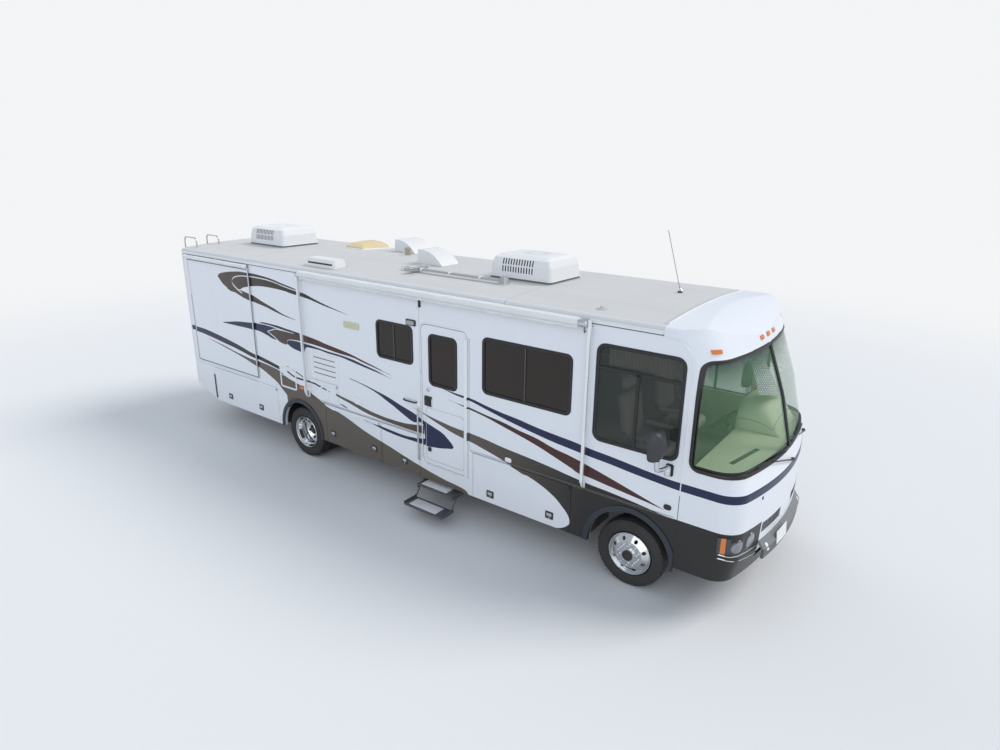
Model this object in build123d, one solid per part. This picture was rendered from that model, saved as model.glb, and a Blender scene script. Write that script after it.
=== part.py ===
from build123d import *
import math
import os

# A class A motorhome on a front-engine chassis, in millimetres.
# +X is forward, +Y is left and +Z is up.
# The origin lies on the ground below the middle of the coach.
# The feature that takes the most skill is the entry step's double swing linkage, with the
# wrap-round front moulding, whose sections are straight sides, corner arcs and a bowed nose.

os.makedirs("parts", exist_ok=True)

# Overall body
BODY_WIDTH = 2540.0
REAR_X = -5070.0
SKIRT_Z = 440.0
ROOF_TOP_Z = 3200.0
EAVE_Z = ROOF_TOP_Z - 110.0
ROOF_SHOULDER_Z = ROOF_TOP_Z - 50.0
ROOF_SHOULDER_IN = 75.0
ROOF_T = 60.0
WALL_T = 50.0
DEPARTURE_X = -4450.0
DEPARTURE_Z = 640.0

# Front moulding
NOSE_X = 5110.0
SEAM_X = 4322.0
ROOF_SEAM_X = 3990.0
SEAM_TOP_Z = ROOF_TOP_Z - 160.0
SEAM_CORNER_R = 250.0
CAP_T = 36.0
BOW_R = 4200.0
BELT_Z = 1080.0
SEAM_GAP = 0.3

# Windscreen
SCREEN_SIDE_X = 4390.0
SCREEN_LOW_Z = 1700.0
SCREEN_HIGH_Z = ROOF_TOP_Z - 365.0
SCREEN_CORNER_R = 90.0
SCREEN_BAR = 24.0
GLASS_T = 8.0
GLASS_GAP = 0.3
GLASS_IN = 8.0

# Running gear
FRONT_AXLE_X = 3780.0
WHEELBASE = 5791.0
TYRE_R = 419.0
TYRE_W = 240.0
RIM_R = 262.0
FRONT_TRACK = 2180.0
REAR_OUTER_TRACK = 2200.0
DUAL_SPACING = 275.0
KINGPIN_HALF = 905.0
KINGPIN_R = 20.0
HUB_R = 82.0
RUNNING_GAP = 0.3
FRONT_ARCH_R = 510.0
REAR_ARCH_R = 460.0
FRONT_ARCH_TOP = 977.0
REAR_ARCH_TOP = 937.0
ARCH_LIP_W = 65.0
ARCH_LIP_T = 12.0
HOUSING_IN = 640.0
HOUSING_T = 6.0
HOUSING_GAP = 50.0

# Ladder frame
RAIL_OUT = 432.0
RAIL_LOW_Z = 620.0
RAIL_H = 230.0
RAIL_FLANGE = 75.0
RAIL_WEB = 8.0
RAIL_REAR_X = -4980.0
RAIL_FRONT_X = 4700.0

# Floor and storage below it
FLOOR_TOP_Z = 1110.0
FLOOR_T = 50.0
TRAY_LOW_Z = 455.0
TRAY_T = 15.0
LOCKER_TOP_Z = 1050.0
LOCKER_GAP = 6.0
LOCKER_DOOR_T = 30.0

# Hinges: a round pin in a barrel
PIN_R = 5.0
BARREL_R = 9.0
HINGE_OUT = 12.0
HINGE_LEAF_T = 4.0
HINGE_LEAF_H = 30.0

# Entry door
DOOR_X0 = 657.0
DOOR_X1 = 1443.0
DOOR_Z0 = 690.0
DOOR_Z1 = 2672.0
DOOR_GAP = 8.0
DOOR_R = 90.0

# Slide-out bedroom room
SLIDE_X0 = -4848.0
SLIDE_X1 = -3106.0
SLIDE_Z0 = 1190.0
SLIDE_Z1 = EAVE_Z - 145.0
SLIDE_DEPTH = 620.0
SLIDE_WALL = 40.0
SLIDE_GAP = 8.0
SLIDE_FLANGE = 40.0
SLIDE_FLANGE_T = 14.0
SLIDE_SEAL = 6.0

HALF = BODY_WIDTH / 2
REAR_AXLE_X = FRONT_AXLE_X - WHEELBASE
HUB_Z = TYRE_R
FLOOR_LOW_Z = FLOOR_TOP_Z - FLOOR_T
# Wheel openings: axle x, radius, top
ARCHES = [
    (FRONT_AXLE_X, FRONT_ARCH_R, FRONT_ARCH_TOP),
    (REAR_AXLE_X, REAR_ARCH_R, REAR_ARCH_TOP),
]


def save(name, *solids):
    """One node: its solids in one STEP file."""
    shapes = []
    for solid in solids:
        shapes.extend(solid.solids())
    export_step(Compound(children=shapes) if len(shapes) > 1 else shapes[0], f"parts/{name}.step")


def block(x0, x1, y0, y1, z0, z1):
    """A box between two corners."""
    return Pos((x0 + x1) / 2, (y0 + y1) / 2, (z0 + z1) / 2) * Box(x1 - x0, y1 - y0, z1 - z0)


def rod_x(x0, x1, y, z, r):
    """A round bar along X."""
    return Pos((x0 + x1) / 2, y, z) * Rot(0, 90, 0) * Cylinder(r, x1 - x0)


def rod_y(x, y0, y1, z, r):
    """A round bar along Y."""
    return Pos(x, (y0 + y1) / 2, z) * Rot(90, 0, 0) * Cylinder(r, y1 - y0)


def rod_z(x, y, z0, z1, r):
    """A round bar along Z."""
    return Pos(x, y, (z0 + z1) / 2) * Cylinder(r, z1 - z0)


def side_prism(x0, x1, z0, z1, r, y0, y1):
    """A rounded rectangle in side view, solid from y0 to y1."""
    plane = Plane(origin=((x0 + x1) / 2, y1, (z0 + z1) / 2), x_dir=(1, 0, 0), z_dir=(0, -1, 0))
    return extrude(plane * RectangleRounded(x1 - x0, z1 - z0, r), y1 - y0)


def mirror_y(solid):
    return mirror(solid, about=Plane.XZ)


def sided(side, solid):
    """A solid drawn for the right side, or its mirror image for the left."""
    return solid if side < 0 else mirror_y(solid)


# Side walls: one panel from the rear wall to the front moulding, with the seam's round top corner

def wall_outline(grow):
    """Side outline of a wall panel, grown forwards and upwards by a gap at the front seam."""
    front = SEAM_X + grow
    top = SEAM_TOP_Z + grow
    r = SEAM_CORNER_R
    corner = (front - r, top - r)
    mid = (corner[0] + r * math.sin(math.pi / 4), corner[1] + r * math.cos(math.pi / 4))
    return [
        Line((REAR_X + WALL_T, DEPARTURE_Z), (DEPARTURE_X, SKIRT_Z)),
        Line((DEPARTURE_X, SKIRT_Z), (front, SKIRT_Z)),
        Line((front, SKIRT_Z), (front, top - r)),
        ThreePointArc((front, top - r), mid, (front - r, top)),
        Line((front - r, top), (ROOF_SEAM_X + grow, top)),
        Line((ROOF_SEAM_X + grow, top), (ROOF_SEAM_X + grow, EAVE_Z)),
        Line((ROOF_SEAM_X + grow, EAVE_Z), (REAR_X + WALL_T, EAVE_Z)),
        Line((REAR_X + WALL_T, EAVE_Z), (REAR_X + WALL_T, DEPARTURE_Z)),
    ]


def wall_panel(grow, y0, y1):
    edges = wall_outline(grow)
    plane = Plane(origin=(0, y1, 0), x_dir=(1, 0, 0), z_dir=(0, -1, 0))
    return extrude(plane * make_face(edges), y1 - y0)


def arch_prism(x, r, top, y0, y1):
    """The opening over a wheel: a half round on straight sides."""
    centre = top - r
    return rod_y(x, y0, y1, centre, r) + block(x - r, x + r, y0, y1, SKIRT_Z - 200, centre)


def arch_lip(x, r, top):
    """The raised moulding round a wheel opening, stopped at the front seam."""
    out = -HALF - ARCH_LIP_T
    lip = arch_prism(x, r + ARCH_LIP_W, top + ARCH_LIP_W, out, -HALF + 1)
    lip -= arch_prism(x, r, top, out - 1, -HALF + 2)
    reach = r + ARCH_LIP_W + 1
    return lip & block(x - reach, min(x + reach, SEAM_X - 2), out, -HALF + 1, SKIRT_Z, top + ARCH_LIP_W)


# Windows in each side wall: x0, x1, z0, z1, corner radius
WINDOW_R = 60.0
CAB_WINDOW = (3270.0, 4243.0, 1750.0, 2842.0, 85.0)
RIGHT_WINDOWS = [
    CAB_WINDOW,
    (1700.0, 2942.0, 1948.0, 2640.0, WINDOW_R),
    (-168.0, 492.0, 2080.0, 2582.0, WINDOW_R),
]
LEFT_WINDOWS = [
    CAB_WINDOW,
    (1500.0, 2742.0, 1948.0, 2640.0, WINDOW_R),
    (-600.0, 642.0, 1948.0, 2640.0, WINDOW_R),
    (-2250.0, -1750.0, 2180.0, 2582.0, WINDOW_R),
    (-4500.0, -3500.0, 1998.0, 2640.0, WINDOW_R),
]

# Storage doors in each skirt, between the wheels and the entry step: node, x0, x1
BEHIND_REAR_X = REAR_AXLE_X - 589.0
AHEAD_OF_REAR_X = REAR_AXLE_X + 616.0
BEHIND_FRONT_X = FRONT_AXLE_X - 760.0
RIGHT_LOCKERS = [
    ("locker_door_right_rear", DEPARTURE_X + 5, BEHIND_REAR_X),
    ("locker_door_right_mid", AHEAD_OF_REAR_X, -185.0),
    ("locker_door_right_step", -165.0, 585.0),
    ("locker_door_right_front", 1530.0, BEHIND_FRONT_X),
]
LEFT_LOCKERS = [
    ("locker_door_left_rear", DEPARTURE_X + 5, BEHIND_REAR_X),
    ("locker_door_left_mid", AHEAD_OF_REAR_X, 805.0),
    ("locker_door_left_front", 830.0, BEHIND_FRONT_X),
]
# The utility compartment's door: x0, x1, z0, z1
UTILITY = (-1725.0, -1070.0, 1105.0, 1415.0)
# A pin stops short of its door's ends by this much
PIN_SHORT = 20.0
GUTTER_OUT = 14.0
GUTTER_H = 26.0


def hinge_pin_x(x0, x1, z):
    """A level pin outside the right wall, held by an ear at each end."""
    y = -(HALF + HINGE_OUT)
    ear = 12.0
    pin = rod_x(x0 - ear, x1 + ear, y, z, PIN_R)
    reach = HINGE_OUT + BARREL_R
    ears = block(x0 - ear, x0, -HALF - reach, -HALF + 1, z - BARREL_R, z + BARREL_R)
    ears += block(x1, x1 + ear, -HALF - reach, -HALF + 1, z - BARREL_R, z + BARREL_R)
    return pin + ears


def flap(x0, x1, z0, z1):
    """A top-hinged flap in the right wall with its hinge leaf and barrel."""
    y = -(HALF + HINGE_OUT)
    pin_z = z1 + LOCKER_GAP + BARREL_R
    bx0 = x0 + PIN_SHORT
    bx1 = x1 - PIN_SHORT
    leaf = block(x0, x1, -HALF, -HALF + LOCKER_DOOR_T, z0, z1)
    barrel = rod_x(bx0, bx1, y, pin_z, BARREL_R)
    strap = block(bx0, bx1, y - BARREL_R, y - BARREL_R + HINGE_LEAF_T, z1 - HINGE_LEAF_H, pin_z)
    web = block(bx0, bx1, y - BARREL_R, -HALF, z1 - HINGE_LEAF_H, z1 - HINGE_LEAF_H + HINGE_LEAF_T)
    body = leaf + barrel + strap + web
    return body - rod_x(x0, x1, y, pin_z, PIN_R + RUNNING_GAP)


def lockers(side, rows):
    """The storage doors of one side."""
    for name, x0, x1 in rows:
        door = flap(x0 + LOCKER_GAP, x1 - LOCKER_GAP, SKIRT_Z, LOCKER_TOP_Z)
        save(name, sided(side, door))


def wall(side, windows, locker_rows):
    """One side wall with every opening cut, and its hinge pins."""
    panel = wall_panel(0, -HALF, -HALF + WALL_T)
    panel += block(REAR_X + WALL_T, ROOF_SEAM_X - 10, -HALF - GUTTER_OUT, -HALF, EAVE_Z - GUTTER_H, EAVE_Z)
    y0 = -HALF - 5
    y1 = -HALF + WALL_T + 5
    for x0, x1, z0, z1, r in windows:
        panel -= side_prism(x0, x1, z0, z1, r, y0, y1)
    for x, r, top in ARCHES:
        panel -= arch_prism(x, r, top, y0, y1)
        panel += arch_lip(x, r, top)
    pin_z = LOCKER_TOP_Z + LOCKER_GAP + BARREL_R
    for name, x0, x1 in locker_rows:
        panel -= block(x0, x1, y0, y1, SKIRT_Z - 10, LOCKER_TOP_Z + LOCKER_GAP)
        panel += hinge_pin_x(x0 + PIN_SHORT, x1 - PIN_SHORT, pin_z)
    if side < 0:
        panel -= side_prism(DOOR_X0, DOOR_X1, DOOR_Z0, DOOR_Z1, DOOR_R, y0, y1)
        panel += door_pin()
        ux0, ux1, uz0, uz1 = UTILITY
        panel -= block(ux0, ux1, y0, y1, uz0, uz1)
        panel += hinge_pin_x(ux0 + PIN_SHORT, ux1 - PIN_SHORT, uz1 + BARREL_R)
        panel -= block(SLIDE_X0 - SLIDE_GAP, SLIDE_X1 + SLIDE_GAP, y0, y1,
                       SLIDE_Z0 - SLIDE_GAP, SLIDE_Z1 + SLIDE_GAP)
    return sided(side, panel)


# Entry door, hinged on its front edge

DOOR_HINGE_X = DOOR_X1 + 4
DOOR_HINGE_Y = -(HALF + HINGE_OUT)
DOOR_T = 45.0


def door_pin():
    """The upright hinge pin with its two ears on the wall."""
    z0 = DOOR_Z0 + 10
    z1 = DOOR_Z1 - DOOR_R
    ear = 14.0
    reach = HINGE_OUT + BARREL_R
    x0 = DOOR_HINGE_X - BARREL_R
    x1 = DOOR_HINGE_X + BARREL_R
    wall_x = DOOR_X1 + 2
    pin = rod_z(DOOR_HINGE_X, DOOR_HINGE_Y, z0 - ear, z1 + ear, PIN_R)
    for low in (z0 - ear, z1):
        pin += block(x0, x1, -HALF - reach, -HALF, low, low + ear)
        pin += block(wall_x, x1 + 14, -HALF - HINGE_OUT, -HALF + 1, low, low + ear)
    return pin


def entry_door():
    """The leaf with its window cut, its hinge strap and its pull handle."""
    x0 = DOOR_X0 + DOOR_GAP
    x1 = DOOR_X1 - DOOR_GAP
    leaf = side_prism(x0, x1, DOOR_Z0 + DOOR_GAP, DOOR_Z1 - DOOR_GAP, DOOR_R - DOOR_GAP,
                      -HALF, -HALF + DOOR_T)
    leaf -= side_prism(*DOOR_WINDOW, -HALF - 5, -HALF + DOOR_T + 5)
    z0 = DOOR_Z0 + 10 + RUNNING_GAP
    z1 = DOOR_Z1 - DOOR_R - RUNNING_GAP
    barrel = rod_z(DOOR_HINGE_X, DOOR_HINGE_Y, z0, z1, BARREL_R)
    front = DOOR_HINGE_Y - BARREL_R
    strap = block(x1 - 30, DOOR_HINGE_X, front, front + 4, z0, z1)
    web = block(x1 - 30, x1 - 26, front, -HALF, z0, z1)
    leaf += barrel + strap + web
    leaf -= rod_z(DOOR_HINGE_X, DOOR_HINGE_Y, z0 - 5, z1 + 5, PIN_R + RUNNING_GAP)
    leaf += side_prism(x0 + 44, x0 + 174, 1555, 1661, 12, -HALF - 14, -HALF)
    leaf += rod_y(x0 + 114, -HALF - 20, -HALF, 1781, 22)
    return leaf


DOOR_WINDOW = (805.0, 1257.0, 1868.0, 2536.0, 62.0)


def pane(window, y):
    """Window glass set in its opening with a hair's gap."""
    x0, x1, z0, z1, r = window
    g = GLASS_GAP
    return side_prism(x0 + g, x1 - g, z0 + g, z1 - g, r - g, y, y + GLASS_T)


save("right_wall", wall(-1, RIGHT_WINDOWS, RIGHT_LOCKERS))
save("left_wall", wall(1, LEFT_WINDOWS, LEFT_LOCKERS))
lockers(-1, RIGHT_LOCKERS)
lockers(1, LEFT_LOCKERS)
save("utility_door", flap(UTILITY[0] + LOCKER_GAP, UTILITY[1] - LOCKER_GAP, UTILITY[2] + LOCKER_GAP,
                          UTILITY[3] - LOCKER_GAP))
save("entry_door", entry_door())
save("entry_door_glass", pane(DOOR_WINDOW, -HALF + GLASS_IN))
glass = []
for window in RIGHT_WINDOWS:
    glass.append(pane(window, -HALF + GLASS_IN))
for window in LEFT_WINDOWS:
    glass.append(mirror_y(pane(window, -HALF + GLASS_IN)))

# Rear wall with its window

REAR_WINDOW = (-450.0, 450.0, 2150.0, 2600.0, WINDOW_R)


def rear_prism(y0, y1, z0, z1, r, x0, x1):
    """A rounded rectangle in rear view, solid from x0 to x1."""
    plane = Plane(origin=(x0, (y0 + y1) / 2, (z0 + z1) / 2), x_dir=(0, 1, 0), z_dir=(1, 0, 0))
    return extrude(plane * RectangleRounded(y1 - y0, z1 - z0, r), x1 - x0)


rear_wall = block(REAR_X, REAR_X + WALL_T, -HALF, HALF, DEPARTURE_Z, EAVE_Z)
rear_wall -= rear_prism(*REAR_WINDOW, REAR_X - 5, REAR_X + WALL_T + 5)
save("rear_wall", rear_wall)
wy0, wy1, wz0, wz1, wr = REAR_WINDOW
glass.append(rear_prism(wy0 + GLASS_GAP, wy1 - GLASS_GAP, wz0 + GLASS_GAP, wz1 - GLASS_GAP,
                        wr - GLASS_GAP, REAR_X + GLASS_IN, REAR_X + GLASS_IN + GLASS_T))
save("side_glass", *glass)


# Roof: a crowned panel with round shoulders

def roof_outline(inset, low):
    """End view of the roof's outer face, moved in by an inset and closed at a low edge."""
    half = HALF - inset
    shoulder = half - ROOF_SHOULDER_IN
    z_shoulder = ROOF_SHOULDER_Z - inset
    z_top = ROOF_TOP_Z - inset
    z_edge = EAVE_Z - inset
    mid_y = half - ROOF_SHOULDER_IN * 0.29
    mid_z = z_edge + (z_shoulder - z_edge) * 0.71
    return [
        Line((-half, low), (-half, z_edge)),
        ThreePointArc((-half, z_edge), (-mid_y, mid_z), (-shoulder, z_shoulder)),
        ThreePointArc((-shoulder, z_shoulder), (0, z_top), (shoulder, z_shoulder)),
        ThreePointArc((shoulder, z_shoulder), (mid_y, mid_z), (half, z_edge)),
        Line((half, z_edge), (half, low)),
        Line((half, low), (-half, low)),
    ]


def roof_prism(inset, low, x0, x1):
    plane = Plane(origin=(x0, 0, 0), x_dir=(0, 1, 0), z_dir=(1, 0, 0))
    return extrude(plane * make_face(roof_outline(inset, low)), x1 - x0)


roof = roof_prism(0, EAVE_Z - 20, REAR_X, ROOF_SEAM_X)
roof -= roof_prism(ROOF_T, EAVE_Z - 200, REAR_X - 10, ROOF_SEAM_X + 10)
roof -= block(REAR_X - 10, ROOF_SEAM_X + 10, -HALF - 10, HALF + 10, EAVE_Z - 300, EAVE_Z)
save("roof", roof)

# Front moulding: plan sections of straight sides, corner arcs and a bowed nose, carried down
# between the lamps as a chin with a slatted opening on each side of its middle
CHIN_LOW_Z = 850.0
CHIN_HALF = 742.0
GRILLE_Y = (215.0, 722.0)
GRILLE_Z = (935.0, 1055.0)
# height, nose x, corner radius
CAP_SECTIONS = [
    (CHIN_LOW_Z, NOSE_X + 3, 250.0),
    (BELT_Z, NOSE_X + 8, 250.0),
    (1500.0, NOSE_X, 260.0),
    (1700.0, 5062.0, 290.0),
    (2270.0, 4916.0, 360.0),
    (SCREEN_HIGH_Z + 5, 4700.0, 430.0),
    (ROOF_TOP_Z + 60, 4520.0, 430.0),
]
CAP_ROUND = [(4050.0, ROOF_TOP_Z), (4430.0, ROOF_TOP_Z - 72), (4655.0, ROOF_TOP_Z - 255)]
CROWN_PROUD = 1.0


def plan_face(z, nose, corner_r, half, back):
    """Plan section: straight back and sides, round corners, and a nose bowed on BOW_R."""
    bow = nose - BOW_R
    reach = BOW_R - corner_r
    side = half - corner_r
    cx = bow + math.sqrt(reach ** 2 - side ** 2)
    unit = ((cx - bow) / reach, side / reach)
    tangent = (bow + BOW_R * unit[0], BOW_R * unit[1])
    half_turn = math.atan2(unit[1], unit[0]) / 2 + math.pi / 4
    mid = (cx + corner_r * math.cos(half_turn), side + corner_r * math.sin(half_turn))
    edges = [
        Line((back, -half), (cx, -half)),
        ThreePointArc((cx, -half), (mid[0], -mid[1]), (tangent[0], -tangent[1])),
        ThreePointArc((tangent[0], -tangent[1]), (nose, 0), (tangent[0], tangent[1])),
        ThreePointArc((tangent[0], tangent[1]), mid, (cx, half)),
        Line((cx, half), (back, half)),
        Line((back, half), (back, -half)),
    ]
    return Pos(0, 0, z) * make_face(edges)


def front_form(inset, rows, back):
    """The outer form between plan sections, moved in by an inset."""
    faces = []
    for z, nose, corner_r in rows:
        faces.append(plan_face(z, nose - inset, corner_r - inset * 0.6, HALF - inset, back))
    return loft(faces, ruled=True)


def cap_top(inset, low):
    """Side view of the cap's rounded top, extruded right across and moved in by an inset."""
    start, middle, end = [(x - inset * 0.7, z - inset * 0.7) for x, z in CAP_ROUND]
    start = (CAP_ROUND[0][0] - inset * 0.3, ROOF_TOP_Z - inset)
    ahead = NOSE_X + 200
    behind = ROOF_SEAM_X - 100
    edges = [
        Line((behind, low), (ahead, low)),
        Line((ahead, low), (ahead, end[1])),
        Line((ahead, end[1]), end),
        ThreePointArc(end, middle, start),
        Line(start, (behind, start[1])),
        Line((behind, start[1]), (behind, low)),
    ]
    plane = Plane(origin=(0, HALF + 50, 0), x_dir=(1, 0, 0), z_dir=(0, -1, 0))
    return extrude(plane * make_face(edges), 2 * HALF + 100)


def cap_form(inset):
    back = ROOF_SEAM_X - 60
    form = front_form(inset, CAP_SECTIONS, back)
    form &= cap_top(inset, CHIN_LOW_Z - 50)
    form &= roof_prism(inset - CROWN_PROUD, CHIN_LOW_Z - 60, back - 10, NOSE_X + 200)
    return form


def screen_prism(shrink, y0, y1):
    """Side view of the wrap-round windscreen opening."""
    return side_prism(SCREEN_SIDE_X + shrink, NOSE_X + 300, SCREEN_LOW_Z + shrink,
                      SCREEN_HIGH_Z - shrink, SCREEN_CORNER_R - shrink, y0, y1)


cap_outer = cap_form(0)
cap_inner = cap_form(CAP_T)
behind_seam = block(ROOF_SEAM_X - 200, ROOF_SEAM_X + SEAM_GAP, -HALF - 20, HALF + 20, CHIN_LOW_Z - 80,
                    ROOF_TOP_Z + 200)
wall_shadow = wall_panel(SEAM_GAP, -HALF - 20, HALF + 20)
front_cap = cap_outer - cap_inner - behind_seam - wall_shadow
bar = SCREEN_BAR / 2
front_cap -= screen_prism(0, bar, HALF + 20)
front_cap -= screen_prism(0, -HALF - 20, -bar)
beside_chin = block(SEAM_X - 100, NOSE_X + 200, -HALF - 20, -CHIN_HALF, CHIN_LOW_Z - 20, BELT_Z)
grille_hole = block(NOSE_X - 400, NOSE_X + 100, -GRILLE_Y[1], -GRILLE_Y[0], *GRILLE_Z)
for side in (-1, 1):
    front_cap -= sided(side, beside_chin)
    front_cap -= sided(side, grille_hole)
save("front_cap", front_cap)

glass_shell = cap_form(12) - cap_form(12 + GLASS_T)
panes = []
for y0, y1 in ((bar + GLASS_GAP, HALF + 20), (-HALF - 20, -bar - GLASS_GAP)):
    panes.append(glass_shell & screen_prism(GLASS_GAP, y0, y1))
save("windshield", *panes)

# Amber lamps on the front: five on the cap's brow and a turn signal on each lower corner
LAMP_PROUD = 12.0
BROW_LAMP_Y = (-1100.0, -210.0, 0.0, 210.0, 1100.0)
BROW_LAMP_Z = (ROOF_TOP_Z - 285, ROOF_TOP_Z - 245)
BROW_LAMP_HALF = 45.0
TURN_SIGNAL = (4770.0, 4900.0, -1290.0, -1225.0, 860.0, 1040.0)
brow = cap_form(-LAMP_PROUD) - cap_form(-SEAM_GAP)
front_lamps = []
for y in BROW_LAMP_Y:
    front_lamps.append(brow & block(SEAM_X, NOSE_X, y - BROW_LAMP_HALF, y + BROW_LAMP_HALF, *BROW_LAMP_Z))

# Lower front moulding, from the belt down, with the lamp holes and the gap for chin and bumper
VALANCE_LOW_Z = 500.0
VALANCE_T = 30.0
VALANCE_SECTIONS = [
    (VALANCE_LOW_Z, NOSE_X - 60, 250.0),
    (760.0, NOSE_X - 5, 250.0),
    (BELT_Z - SEAM_GAP, NOSE_X + 8, 250.0),
]
BUMPER_LOW_Z = 646.0
# Lamps on each side: y, z, radius, x of the bowl's back
LAMPS = [
    (925.0, 925.0, 98.0, 4900.0),
    (1135.0, 915.0, 84.0, 4800.0),
]

valance_back = SEAM_X + SEAM_GAP
valance = front_form(0, VALANCE_SECTIONS, valance_back)
valance -= front_form(VALANCE_T, [
    (VALANCE_LOW_Z - 5, NOSE_X - 60, 250.0),
    (760.0, NOSE_X - 5, 250.0),
    (BELT_Z + 1, NOSE_X + 8, 250.0),
], valance_back - 10)
valance -= block(NOSE_X - 400, NOSE_X + 100, -CHIN_HALF - SEAM_GAP, CHIN_HALF + SEAM_GAP,
                 BUMPER_LOW_Z - SEAM_GAP, BELT_Z + 10)
for lamp_y, lamp_z, lamp_r, back_x in LAMPS:
    for side in (-1, 1):
        valance -= rod_x(back_x - 60, NOSE_X + 100, side * lamp_y, lamp_z, lamp_r)
save("front_valance", valance)

signal_skin = front_form(-LAMP_PROUD, VALANCE_SECTIONS, valance_back)
signal_skin -= front_form(-SEAM_GAP, [
    (VALANCE_LOW_Z - 5, NOSE_X - 60, 250.0),
    (760.0, NOSE_X - 5, 250.0),
    (BELT_Z + 1, NOSE_X + 8, 250.0),
], valance_back - 10)
signal = signal_skin & block(*TURN_SIGNAL)
save("front_lamps", *front_lamps, signal, mirror_y(signal))

# Headlamps: a bowl in each hole, its lens cut to the moulding's own curve
LENS_INSET = 6.0
lamps = []
lens_form = front_form(LENS_INSET, VALANCE_SECTIONS, SEAM_X + 60)
for lamp_y, lamp_z, lamp_r, back_x in LAMPS:
    for side in (-1, 1):
        bowl = rod_x(back_x, NOSE_X + 100, side * lamp_y, lamp_z, lamp_r - SEAM_GAP)
        lamps.append(bowl & lens_form)
save("headlamps", *lamps)

# Grille: level slats, bowed with the moulding, in the chin's two openings
GRILLE_SLATS = 4
SLAT_H = 12.0
SLAT_INSET = 10.0
chin = CAP_SECTIONS[:2]
slat_form = front_form(SLAT_INSET, chin, SEAM_X) - front_form(SLAT_INSET + CAP_T, chin, SEAM_X)
pitch = (GRILLE_Z[1] - GRILLE_Z[0]) / (GRILLE_SLATS + 1)
slats = []
for i in range(GRILLE_SLATS):
    slat_z = GRILLE_Z[0] + pitch * (i + 1)
    slat = slat_form & block(NOSE_X - 400, NOSE_X + 100, -GRILLE_Y[1] + SEAM_GAP, -GRILLE_Y[0] - SEAM_GAP,
                             slat_z - SLAT_H / 2, slat_z + SLAT_H / 2)
    slats.append(slat)
    slats.append(mirror_y(slat))
save("grille", *slats)

# Front bumper: a hollow bar with a sloped upper face, in the gap below the chin
BUMPER_PROUD = 75.0
BUMPER_BEND_Z = 755.0
BUMPER_SECTIONS = [
    (BUMPER_LOW_Z, NOSE_X + BUMPER_PROUD - 6, 250.0),
    (BUMPER_BEND_Z, NOSE_X + BUMPER_PROUD, 250.0),
    (CHIN_LOW_Z - SEAM_GAP, NOSE_X + 3, 250.0),
]
bumper = front_form(0, BUMPER_SECTIONS, SEAM_X + 60)
bumper -= front_form(VALANCE_T, [
    (BUMPER_LOW_Z - 1, NOSE_X + BUMPER_PROUD - 6, 250.0),
    (BUMPER_BEND_Z, NOSE_X + BUMPER_PROUD, 250.0),
    (CHIN_LOW_Z + 1, NOSE_X + 3, 250.0),
], SEAM_X + 50)
bumper &= block(SEAM_X, NOSE_X + 200, -CHIN_HALF, CHIN_HALF, BUMPER_LOW_Z - 5, CHIN_LOW_Z + 5)
save("front_bumper", bumper)


# Floor with the step well cut out
floor = block(REAR_X + WALL_T, SEAM_X - 20, -HALF + WALL_T, HALF - WALL_T, FLOOR_LOW_Z, FLOOR_TOP_Z)
STEP_WELL_IN = 420.0
floor -= block(DOOR_X0, DOOR_X1, -HALF, -HALF + WALL_T + STEP_WELL_IN, FLOOR_LOW_Z - 10, FLOOR_TOP_Z + 10)
well_y1 = -HALF + WALL_T + STEP_WELL_IN
tread_z = (FLOOR_TOP_Z + DOOR_Z0) / 2
WELL_T = 18.0
floor += block(DOOR_X0 - WELL_T, DOOR_X1 + WELL_T, well_y1 - WELL_T, well_y1, DOOR_Z0, FLOOR_TOP_Z)
floor += block(DOOR_X0 - WELL_T, DOOR_X0, -HALF + WALL_T, well_y1, DOOR_Z0 - WELL_T, FLOOR_TOP_Z)
floor += block(DOOR_X1, DOOR_X1 + WELL_T, -HALF + WALL_T, well_y1, DOOR_Z0 - WELL_T, FLOOR_TOP_Z)
floor += block(DOOR_X0 - WELL_T, DOOR_X1 + WELL_T, -HALF + WALL_T, well_y1, DOOR_Z0 - WELL_T, DOOR_Z0)
floor += block(DOOR_X0, DOOR_X1, well_y1 - 220, well_y1, tread_z - WELL_T, tread_z)
for rail_x in (SLIDE_X0 + 350, SLIDE_X1 - 350):
    floor += block(rail_x - 30, rail_x + 30, -HALF + WALL_T, -HALF + SLIDE_DEPTH + 60,
                   FLOOR_TOP_Z, SLIDE_Z0 - RUNNING_GAP)
save("floor", floor)

# Storage trays under the floor and the wheel housings

trays = []
for side, rows in ((-1, RIGHT_LOCKERS), (1, LEFT_LOCKERS)):
    for name, x0, x1 in rows:
        y0 = -HALF + WALL_T
        y1 = -RAIL_OUT - 8
        tray = block(x0, x1, y0, y1, TRAY_LOW_Z, FLOOR_LOW_Z)
        tray -= block(x0 + TRAY_T, x1 - TRAY_T, y0 - 1, y1 - TRAY_T, TRAY_LOW_Z + TRAY_T,
                      FLOOR_LOW_Z + 1)
        trays.append(sided(side, tray))
save("storage_trays", *trays)

housings = []
for x, r, top in ARCHES:
    inner = r + HOUSING_GAP
    y0 = -HALF + WALL_T
    y1 = -HOUSING_IN
    centre = FLOOR_LOW_Z - HOUSING_T - inner
    shell = rod_y(x, y0, y1, centre, inner + HOUSING_T)
    shell += block(x - inner - HOUSING_T, x + inner + HOUSING_T, y0, y1, SKIRT_Z, centre)
    shell -= rod_y(x, y0 - 1, y1 + 1, centre, inner)
    shell -= block(x - inner, x + inner, y0 - 1, y1 + 1, SKIRT_Z - 200, centre)
    shell -= block(x - inner * 2, x + inner * 2, y0 - 2, y1 + 2, SKIRT_Z - 900, SKIRT_Z)
    housings.append(shell)
    housings.append(mirror_y(shell))
save("wheel_housings", *housings)


# Ladder frame: two C rails, cross members and outriggers

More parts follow.
